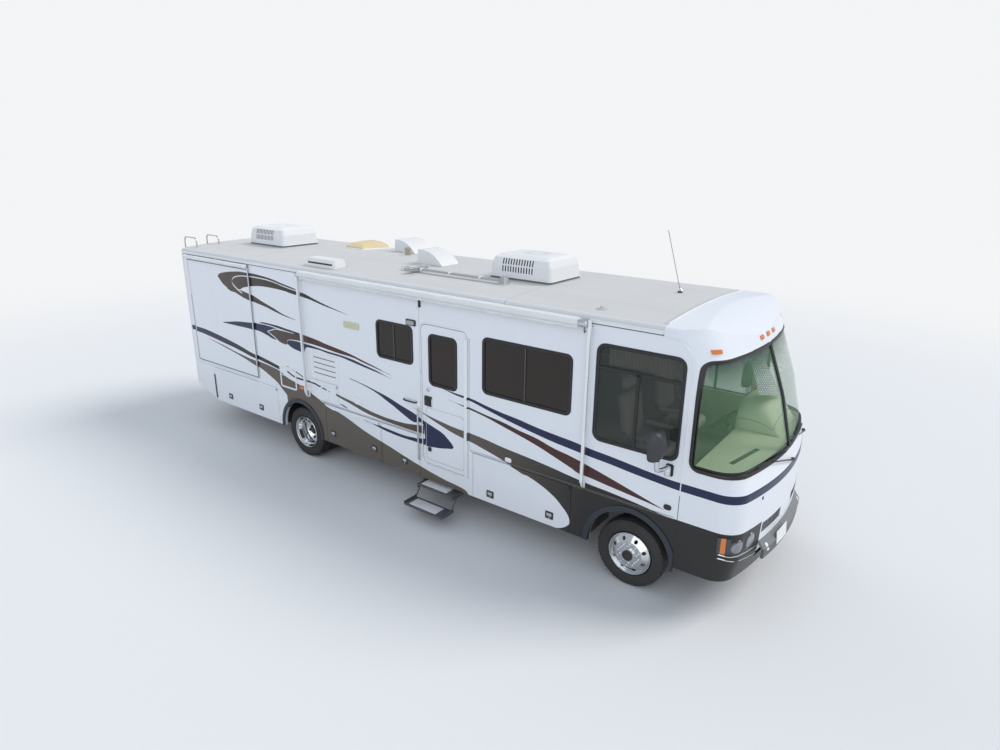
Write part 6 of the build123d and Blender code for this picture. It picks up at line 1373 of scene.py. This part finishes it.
def mirror_head(sign):
    """Rings of a head along x: a superellipse outline that swells on a quarter circle from glass to nose."""
    around = np.linspace(0, 2 * math.pi, 41)[:-1]
    swell = np.linspace(0.0, 1.0, 12)
    share = np.concatenate([[0.93, 0.97], np.sqrt(1.0 - (swell * 0.985) ** 2.6)])
    x = HEAD_BACK_X + np.concatenate([[0.0, 0.004], 0.014 + 0.134 * swell])
    power = 2 / 3.2
    y_loop = HEAD_HALF[0] * np.sign(np.cos(around)) * np.abs(np.cos(around)) ** power
    z_loop = HEAD_HALF[1] * np.sign(np.sin(around)) * np.abs(np.sin(around)) ** power
    taper = 1.0 - 0.10 * (z_loop / HEAD_HALF[1] < 0) * np.abs(z_loop / HEAD_HALF[1])
    return np.stack(np.broadcast_arrays(x[:, None], sign * HEAD_Y + share[:, None] * y_loop * taper,
                                        HEAD_Z + share[:, None] * z_loop), -1)


def on_mirror_back(y, z, out):
    """Places (y, z, stand-off) on the mirror head's rear face."""
    return np.stack(np.broadcast_arrays(HEAD_BACK_X - out, y, z), -1)


f = Finish("mirror_glass")
mirror_glass = f.principled({
    "Base Color": (0.72, 0.74, 0.76), "Metallic": 1.0, "Roughness": f.noise(2.0) * 0.02 + 0.01,
})
f = Finish("mirror_plastic")
mirror_plastic = f.principled({
    "Base Color": f.mix(f.noise(3.0), (0.030, 0.032, 0.038), (0.042, 0.045, 0.052)),
    "Roughness": f.noise(5.0) * 0.08 + 0.42, "Normal": f.bump(f.noise(260.0, 2.0), 0.0005),
})
GLASS_RIM = [(-0.003, -0.001), (-0.003, 0.005), (0.003, 0.005), (0.004, -0.001)]
# x, distance from the middle plane and z down the elbow, and its radii
ELBOW = np.array([(4.130, 1.500, 1.800), (4.130, 1.500, 1.730), (4.134, 1.492, 1.698), (4.146, 1.460, 1.684),
                  (4.165, 1.400, 1.680), (4.178, 1.345, 1.680)])
ELBOW_R = [0.026, 0.026, 0.026, 0.024, 0.022, 0.022]
PIVOT_X, PIVOT_Y = 4.185, 1.322
PIVOT = [(0.001, -0.060), (0.024, -0.060), (0.030, -0.054), (0.030, 0.040), (0.024, 0.050), (0.001, 0.052)]
heads, glasses, mirror_rims, mirror_arms, pads = [], [], [], [], []
for sign in (-1, 1):
    cy = sign * HEAD_Y
    heads.append(mirror_head(sign))
    for z0, z1 in ((1.892, 2.100), (1.815, 1.875)):
        glasses.append(chip(cy - 0.078, cy + 0.078, z0, z1, 0.004, on_mirror_back, 0.022, 0.002))
        rim = rounded(cy - 0.080, cy + 0.080, z0 - 0.002, z1 + 0.002, 0.024)
        mirror_rims.append(along(rim, GLASS_RIM, on_mirror_back, True))
    mirror_arms.append(tube(ELBOW * (1, sign, 1), ELBOW_R, 16))
    mirror_arms.append(turned(PIVOT, (PIVOT_X, sign * PIVOT_Y, 1.640), (0, 0, 1), 22))
    mirror_arms.append(tube([(PIVOT_X, sign * PIVOT_Y, 1.610), (PIVOT_X, sign * 1.276, 1.610)], 0.018, 14))
    pads.append(chip(4.142, 4.228, 1.560, 1.700, 0.008, on_side(sign), 0.020))
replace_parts(shell("mirror_heads", heads, "coach", mirror_plastic), "mirrors")
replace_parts(shell("mirror_arms", mirror_arms, "coach", chrome), "mirrors")
shell("mirror_glasses", glasses, "coach", mirror_glass)
shell("mirror_rims", mirror_rims, "coach", gasket_and_shade_black)
shell("mirror_pads", pads, "coach", gasket_and_shade_black)


# Entry step: grey welded frames carrying two treads, on flat steel links. Each tread has a pale aluminium
# grip plate with pressed ribs along it.

f = Finish("step_grey")
x, y, z = f.place()
cloud = f.noise(4.0, 4.0)
step_grey = f.principled({
    "Base Color": f.mix(cloud * 0.5, (0.10, 0.105, 0.115), (0.16, 0.14, 0.12)), "Metallic": 0.4,
    "Roughness": cloud * 0.2 + 0.42, "Normal": f.bump(f.noise(150.0), 0.0005),
})
dress(step_grey, "step_arms", "step_upper", "step_links", "step_lower")
f = Finish("grip_plate")
x, y, z = f.place()
grid = (x * 42.0).math("PINGPONG", x * 42.0, 0.5) | (y * 42.0).math("PINGPONG", y * 42.0, 0.5)
grip_plate = f.principled({
    "Base Color": f.mix(grid * 0.8, (0.78, 0.79, 0.80), (0.42, 0.43, 0.45)), "Metallic": 0.2,
    "Roughness": f.noise(12.0) * 0.15 + 0.35, "Normal": f.bump(grid, 0.003),
})
# body, x0, x1, y0, y1, top
TREADS = [("step_upper", 0.690, 1.150, -1.372, -1.195, 0.400), ("step_lower", 0.690, 1.170, -1.622, -1.440, 0.200)]
GRIP_RIB = [(-0.004, 0.003), (-0.003, 0.0055), (0.003, 0.0055), (0.004, 0.003)]
for body, x0, x1, y0, y1, top in TREADS:
    def on_tread(u, v, out, top=top):
        """Places (x, y, stand-off) on a tread."""
        return np.stack(np.broadcast_arrays(u, v, top + out), -1)
    plates = [chip(x0, x1, y0, y1, 0.0035, on_tread, 0.012, 0.0015)]
    for k in range(7):
        y = y0 + 0.022 + k * (y1 - y0 - 0.044) / 6
        plates.append(along([(x0 + 0.015, y), (x1 - 0.015, y)], GRIP_RIB, on_tread))
    shell(f"{body}_grip", plates, body, grip_plate)


# Rear: an aluminium tube ladder, red tail lamps with a white reversing lens at their foot in black frames,
# and white mouldings round the lower panel and under the roof's edge.

f = Finish("red_lens")
x, y, z = f.place()
ribs = (z * 70.0).math("FRACT", z * 70.0)
white_part = (z < 1.120) * (z > 1.0)
red_lens = f.principled({
    "Base Color": f.mix(white_part, (0.34, 0.010, 0.008), (0.70, 0.70, 0.70)),
    "Roughness": f.noise(9.0) * 0.05 + 0.10, "Coat Weight": 1.0, "Normal": f.bump(ribs, 0.0012),
})
dress(red_lens, "rear_lamps")
dress(bright, "ladder")
LAMP_FRAME = [(-0.004, -0.002), (-0.004, 0.026), (0.004, 0.026), (0.007, -0.002)]
PANEL_FRAME = [(-0.006, -0.002), (-0.005, 0.005), (0.005, 0.005), (0.006, -0.002)]
rear_bits = []
for sign in (-1, 1):
    lamp = rounded(sign * 1.130 - 0.085, sign * 1.130 + 0.085, 1.055, 1.305, 0.012, 4)
    rear_bits.append(along(lamp, LAMP_FRAME, on_rear, True))
    rear_bits.append(chip(sign * 0.60 - 0.0015, sign * 0.60 + 0.0015, 0.82, 2.10, 0.002, on_rear, 0.001, 0.0008))
rear_white = [along(rounded(-0.62, 0.62, 0.86, 1.62, 0.040), PANEL_FRAME, on_rear, True),
              chip(-0.17, 0.17, 1.10, 1.24, 0.006, on_rear, 0.012),
              level_run(-1.240, 1.240, 3.070, strip(0.016, -0.002, 0.006), on_rear)]
shell("rear_trim", rear_bits, "coach", gasket_and_shade_black)
shell("rear_mouldings", rear_white, "coach", trim_white)


# Cab floor and dash: carpeted plywood, grey moulded storage trays, and a grained pale dash with a hooded
# pod for the instruments, a defroster slot along its top, and the steering wheel's dark foam rim.

f = Finish("floor_ply")
x, y, z = f.place()
pile = f.noise(420.0, 2.0)
plies = f.noise(4.0, 5.0, 0.6, (0.3, 3.0, 3.0))
floor_ply = f.principled({
    "Base Color": f.mix(z > 1.08, f.mix(plies, (0.30, 0.21, 0.12), (0.44, 0.33, 0.20)),
                        f.mix(f.noise(3.0), (0.26, 0.24, 0.20), (0.33, 0.31, 0.27))),
    "Roughness": plies * 0.1 + 0.85, "Normal": f.bump(pile, 0.0012),
})
dress(floor_ply, "floor")
dress(coating("tray_grey", (0.12, 0.125, 0.13), 0.55, 0.0, 0.7), "storage_trays")
f = Finish("dash_plastic")
x, y, z = f.place()
cloud = f.noise(1.4)
grained = f.noise(380.0, 3.0)
low = f.node("MapRange", {}, {"Value": z, "From Min": 1.66, "From Max": 1.30})
dash_plastic = f.principled({
    "Base Color": f.mix(low, f.mix(cloud * 0.5, (0.55, 0.64, 0.43), (0.49, 0.57, 0.39)), (0.30, 0.29, 0.25)),
    "Roughness": cloud * 0.12 + 0.52, "Normal": f.bump(grained, 0.0006),
})
dress(dash_plastic, "dash")
wheel_foam = coating("wheel_foam", (0.045, 0.045, 0.046), 0.55, 0.0, 0.0, 0.0006)
dress(wheel_foam, "steering_wheel")
HOOD_Y = 0.655
# x, half width and height above the dash of the instrument hood's sections
HOOD = np.array([
    (4.360, 0.362, 0.315), (4.372, 0.372, 0.332), (4.430, 0.380, 0.368), (4.520, 0.385, 0.385),
    (4.600, 0.386, 0.372), (4.680, 0.384, 0.325), (4.750, 0.381, 0.250), (4.810, 0.377, 0.160),
    (4.855, 0.372, 0.075), (4.878, 0.364, 0.012),
])


def on_hood(x, t):
    """A point of the instrument hood: half a superellipse across y and z, t from 0 on the right to pi."""
    half = np.interp(x, HOOD[:, 0], HOOD[:, 1])
    high = np.interp(x, HOOD[:, 0], HOOD[:, 2])
    y = HOOD_Y - half * np.sign(np.cos(t)) * np.abs(np.cos(t)) ** (2 / 3.0)
    return np.stack(np.broadcast_arrays(x, y, 1.656 + high * np.abs(np.sin(t)) ** (2 / 3.0)), -1)


def on_dash(y, z, out):
    """Places (y, z, stand-off) on the dash's rear face, and on the hood's rear face above it."""
    return np.stack(np.broadcast_arrays(np.where(np.asarray(z, float) > 1.660, 4.360, 4.380) - out, y, z), -1)


hood_x = np.concatenate([HOOD[:2, 0], np.linspace(HOOD[2, 0], HOOD[-1, 0], 20)])
hood_t = np.linspace(0, math.pi, 49)
shell("instrument_hood", [on_hood(hood_x[:, None], hood_t[None, :])], "coach", dash_plastic)
seam_start, seam_end = 0.22, math.pi - 0.22
run_x = np.concatenate([np.linspace(4.375, 4.800, 14), np.full(23, 4.800), np.linspace(4.800, 4.375, 14)])
run_t = np.concatenate([np.full(14, seam_start), np.linspace(seam_start, seam_end, 25)[1:-1],
                        np.full(14, seam_end)])
shell("hood_seam", [tube(on_hood(run_x, run_t), 0.0035, 6)], "coach", seal_grey)


def on_dash_top(x, y, out):
    """Places (x, y, stand-off) on the dash's flat top."""
    return np.stack(np.broadcast_arrays(x, y, 1.660 + out), -1)


LOCKER_LINE = [(-0.003, -0.001), (-0.002, 0.003), (0.002, 0.003), (0.003, -0.001)]
dash_dark = [along([(4.781, -0.213), (4.669, -0.790)], strip(0.026, -0.001, 0.002), on_dash_top),
             along([(4.880, 0.262), (4.400, 0.275)], strip(0.003, -0.001, 0.0015), on_dash_top),
             chip(0.400, 0.910, 1.690, 1.880, 0.006, on_dash, 0.050)]
for y0 in (-1.12, -0.42, 0.16):
    for k in range(4):
        z0 = 1.555 + 0.017 * k
        dash_dark.append(chip(y0, y0 + 0.15, z0, z0 + 0.007, 0.003, on_dash, 0.003, 0.001))
glovebox_line = along(rounded(-1.010, -0.560, 1.345, 1.520, 0.020), LOCKER_LINE, on_dash, True)
gauge_rings = []
for y, r in ((0.505, 0.034), (0.595, 0.048), (0.720, 0.048), (0.820, 0.034)):
    bezel = [(r, 0.004), (r, 0.009), (r - 0.003, 0.011), (r - 0.006, 0.009), (r - 0.007, 0.004)]
    gauge_rings.append(turned(bezel, on_dash(y, 1.785, 0.0), (-1, 0, 0), 28))
shell("dash_dark_parts", dash_dark, "coach", seam_and_shade_black)
shell("dash_glovebox_line", [glovebox_line], "coach", seam_and_shade_black)
shell("gauge_rings", gauge_rings, "coach", bright)


# Seats: two captain's chairs in pale leather over foam, with a sewn channel down each panel, on moulded
# pedestals. Each pad is blown up as cloth from a smaller form, then stitched.

def pad_form(u0, u1, v0, v1, t0, t1, edge, corner):
    """Rings of a rounded block: its outline draws in towards both faces on a quarter circle of radius edge."""
    tilt = np.linspace(0, math.pi / 2, 5)
    inset = edge * (1 - np.cos(tilt))
    rise = edge * np.sin(tilt)
    insets = np.concatenate([inset[::-1], inset])
    heights = np.concatenate([t0 + edge - rise[::-1], t1 - edge + rise])
    rings = []
    for draw, t in zip(insets, heights):
        loop = rounded(u0 + draw, u1 - draw, v0 + draw, v1 - draw, max(corner - draw, 0.012), 6)
        rings.append(np.insert(loop, 2, t, axis=1))
    return np.stack(rings)


def points_of(mesh, what="co"):
    """A mesh's points, or their normals, as an array."""
    flat = np.empty(len(mesh.vertices) * 3)
    mesh.vertices.foreach_get(what, flat)
    return flat.reshape(-1, 3)


def settled(thing):
    """A copy of the mesh that an object's modifiers make, with the modifiers gone."""
    now = bpy.context.evaluated_depsgraph_get()
    made = bpy.data.meshes.new_from_object(thing.evaluated_get(now))
    thing.modifiers.clear()
    return made


PAD_VOXEL = 0.013
PAD_CAP = 0.012
PAD_PRESSURE = 4.0
PAD_FRAMES = 20
CHANNEL_DEEP, CHANNEL_HALF = 0.007, 0.009


def blown(name, form, channels, place):
    """A pad: remeshed, swollen by cloth pressure with each point's way capped, and smoothed once.

    Each channel is a line u = value on both faces, where points go inwards by 7 mm on a bell curve.
    """
    pad = skin(name, [form], seat_leather)
    remesh = pad.modifiers.new("remesh", "REMESH")
    remesh.mode = "VOXEL"
    remesh.voxel_size = PAD_VOXEL
    pad.data = settled(pad)
    before = points_of(pad.data)
    cloth = pad.modifiers.new("cloth", "CLOTH")
    cloth.settings.use_pressure = True
    cloth.settings.uniform_pressure_force = PAD_PRESSURE
    cloth.settings.effector_weights.gravity = 0.0
    for step in range(1, PAD_FRAMES + 1):
        bpy.context.scene.frame_set(step)
    way = points_of(settled(pad)) - before
    far = np.linalg.norm(way, axis=1, keepdims=True)
    after = before + way * np.minimum(1.0, PAD_CAP / np.maximum(far, 1e-9))
    pad.data.vertices.foreach_set("co", after.ravel())
    bpy.context.scene.frame_set(1)
    smooth = pad.modifiers.new("smooth", "SUBSURF")
    smooth.levels = smooth.render_levels = 1
    pad.data = settled(pad)
    at, out = points_of(pad.data), points_of(pad.data, "normal")
    for u in channels:
        at = at - out * np.abs(out[:, 2:]) * CHANNEL_DEEP * np.exp(-((at[:, :1] - u) / CHANNEL_HALF) ** 2)
    pad.data.vertices.foreach_set("co", place(at).ravel())
    pad.data.polygons.foreach_set("use_smooth", [True] * len(pad.data.polygons))
    work = bmesh.new()
    work.from_mesh(pad.data)
    bmesh.ops.recalc_face_normals(work, faces=work.faces)
    work.to_mesh(pad.data)
    work.free()
    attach(pad, "coach")
    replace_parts(pad, "seats")


f = Finish("seat_leather")
hide = f.noise(150.0, 4.0)
worn = f.noise(3.0, 4.0)
seat_leather = f.principled({
    "Base Color": f.mix(worn * 0.5, (0.50, 0.46, 0.38), (0.40, 0.36, 0.29)), "Roughness": worn * 0.15 + 0.45,
    "Normal": f.bump(hide, 0.0010),
})
LEAN = math.radians(9.0)
# x and y of each seat
SEATS = [("driver", 3.640, 0.520), ("passenger", 3.700, -0.560)]
CUSHION = (-0.238, 0.238, -0.216, 0.238, 1.424, 1.552, 0.045, 0.070)
BACK = (-0.238, 0.238, 0.100, 0.672, -0.056, 0.056, 0.045, 0.075)
HEADREST = (-0.148, 0.148, 0.700, 0.848, -0.046, 0.046, 0.036, 0.050)
CHANNELS = (-0.125, 0.125)
ARM_AT, ARM_HALF = 0.279, 0.020
ARM_PIVOT = [(0.001, -0.030), (0.026, -0.030), (0.026, 0.004), (0.020, 0.006), (0.001, 0.006)]
# z of the pedestal's rings, and how much wider than its foot each is
PEDESTAL = [(1.110, 0.0), (1.122, 0.0), (1.140, -0.018), (1.200, -0.034), (1.360, -0.030), (1.396, -0.004),
            (1.409, 0.0)]
pedestals, pivots = [], []
for who, seat_x, seat_y in SEATS:
    def lying(at, seat_x=seat_x, seat_y=seat_y):
        """The cushion lies flat: (u, v, t) is across, forward and up."""
        return np.stack([seat_x + at[:, 1], seat_y + at[:, 0], at[:, 2]], -1)

    def leant(at, seat_x=seat_x, seat_y=seat_y):
        """The back leans: (u, v, t) is across, up its length and forward."""
        return np.stack([
            seat_x - 0.265 + at[:, 2] * math.cos(LEAN) - at[:, 1] * math.sin(LEAN), seat_y + at[:, 0],
            1.490 + at[:, 2] * math.sin(LEAN) + at[:, 1] * math.cos(LEAN),
        ], -1)

    blown(f"{who}_cushion", pad_form(*CUSHION), CHANNELS, lying)
    blown(f"{who}_back", pad_form(*BACK), CHANNELS, leant)
    blown(f"{who}_headrest", pad_form(*HEADREST), (), leant)
    for side, hand in ((-1, "right"), (1, "left")):
        centre = side * ARM_AT
        arm = pad_form(centre - ARM_HALF, centre + ARM_HALF, -0.250, 0.112, 1.658, 1.712, 0.014, 0.018)
        blown(f"{who}_armrest_{hand}", arm, (), lying)
        pivots.append(turned(ARM_PIVOT, (seat_x - 0.285, seat_y + side * 0.258, 1.685), (0, side, 0), 18))
        pivots.append(tube(leant(np.array([(side * 0.070, v, 0.0) for v in (0.640, 0.690, 0.730)])), 0.007))
    foot = (seat_x - 0.170, seat_x + 0.150, seat_y - 0.160, seat_y + 0.160)
    pedestals.append(np.stack([np.insert(rounded(*grown(foot, by), 0.045), 2, z, axis=1) for z, by in PEDESTAL]))
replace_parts(shell("seat_pedestals", pedestals, "coach", wheel_foam), "seats")
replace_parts(shell("seat_pivots", pivots, "coach", bright), "seats")


# Cab curtains: a folded shade of striped cotton hung inside the windscreen from a short ceiling rail, and
# plain gathered cloth on a track at the top of each cab window.

def pleats(run, depth, folds, top, foot, place):
    """A gathered cloth and the width it was cut to: a wave of folds across its run, opening towards its foot."""
    across = np.linspace(run[0], run[1], folds * 10 + 1)
    wave = np.sin(np.linspace(0, folds * 2 * math.pi, len(across)))
    rows = []
    for share in np.linspace(0.0, 1.0, 14):
        drift = 0.15 * np.sin(np.linspace(0, 9.0, len(across)) + share * 2.0)
        rows.append(place(across, depth * (0.75 + 0.35 * share) * (wave + drift), top + (foot - top) * share))
    step = np.diff(rows[7], axis=0)
    return np.stack(rows), float(np.linalg.norm(step, axis=1).sum())


f = Finish("striped_cotton")
x, y, z = f.place()
along_fall = z * 31.0 - y * 9.0
stripe = along_fall.math("FRACT", along_fall) < 0.34
thread = f.noise(900.0, 1.0)
striped_cotton = f.principled({
    "Base Color": f.mix(stripe, (0.78, 0.80, 0.82), (0.06, 0.065, 0.08)), "Roughness": thread * 0.1 + 0.82,
    "Normal": f.bump(thread, 0.0008),
})
f = Finish("plain_cotton")
x, y, z = f.place()
thread = f.noise(900.0, 1.0)
plain_cotton = f.principled({
    "Base Color": f.mix(f.noise(4.0, 3.0, 0.5, (3.0, 1.0, 0.2)), (0.50, 0.47, 0.40), (0.40, 0.37, 0.31)),
    "Roughness": thread * 0.1 + 0.82, "Normal": f.bump(thread, 0.0008),
})
CEILING_Z = 3.045
# the shade's four corners, its top pair first
SHADE = np.array([[(4.500, -0.040, 2.680), (4.500, 0.370, 2.630)],
                  [(4.660, 0.050, 2.200), (4.746, 0.830, 1.990)]])
FOLD = 0.034
rails = [tube([SHADE[0, 0] - (0, 0.03, -0.004), SHADE[0, 1] + (0, 0.03, -0.004)], 0.008)]
for y, z in ((0.0, 2.675), (0.330, 2.635)):
    rails.append(tube([(4.500, y, z), (4.500, y, CEILING_Z)], 0.005))
down, side_by = np.linspace(0, 1, 145)[:, None, None], np.linspace(0, 1, 17)[None, :, None]
top_edge, foot_edge = ((1 - side_by) * ends[0] + side_by * ends[1] for ends in SHADE)
flat_shade = (1 - down) * top_edge + down * foot_edge
fall = np.linalg.norm(SHADE[1] - SHADE[0], axis=1).mean()
fold = 0.007 * np.sin(down * fall * 2 * math.pi / FOLD) * np.array([0.95, 0.0, 0.31])
sway = 0.012 * np.sin(side_by * 7.0 + down * 2.0) * down * np.array([-1.0, 0.0, 0.0])
rows = flat_shade + fold + sway
cut = float(np.linalg.norm(np.diff(rows[:, 8], axis=0), axis=1).sum())
cells = np.cross(np.diff(rows, axis=1)[:-1], np.diff(rows, axis=0)[:, :-1])
cloth = shell("windscreen_shade", [rows], "coach", striped_cotton, ends=False, closed=False)
TRACK_Y, TRACK_Z = 1.150, 2.870
CURTAIN_TOP, CURTAIN_FOOT = 2.862, 2.600
for side, name in ((-1, "right"), (1, "left")):
    def on_track(at, fold, height, side=side):
        """Places (x, fold, height) at one cab window, the folds counted outwards from the track."""
        return np.stack(np.broadcast_arrays(at, side * (TRACK_Y + fold), height), -1)

    rails.append(tube([(x, side * TRACK_Y, TRACK_Z) for x in np.linspace(3.320, 4.200, 7)], 0.007))
    for x in (3.330, 4.190):
        rails.append(tube([(x, side * TRACK_Y, TRACK_Z), (x, side * 1.222, TRACK_Z)], 0.005))
    rows, cut = pleats((3.340, 4.180), 0.012, 26, CURTAIN_TOP, CURTAIN_FOOT, on_track)
    cloth = shell(f"cab_curtain_{name}", [rows], "coach", plain_cotton, ends=False, closed=False)
shell("curtain_tracks", rails, "coach", bright)

low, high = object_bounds()
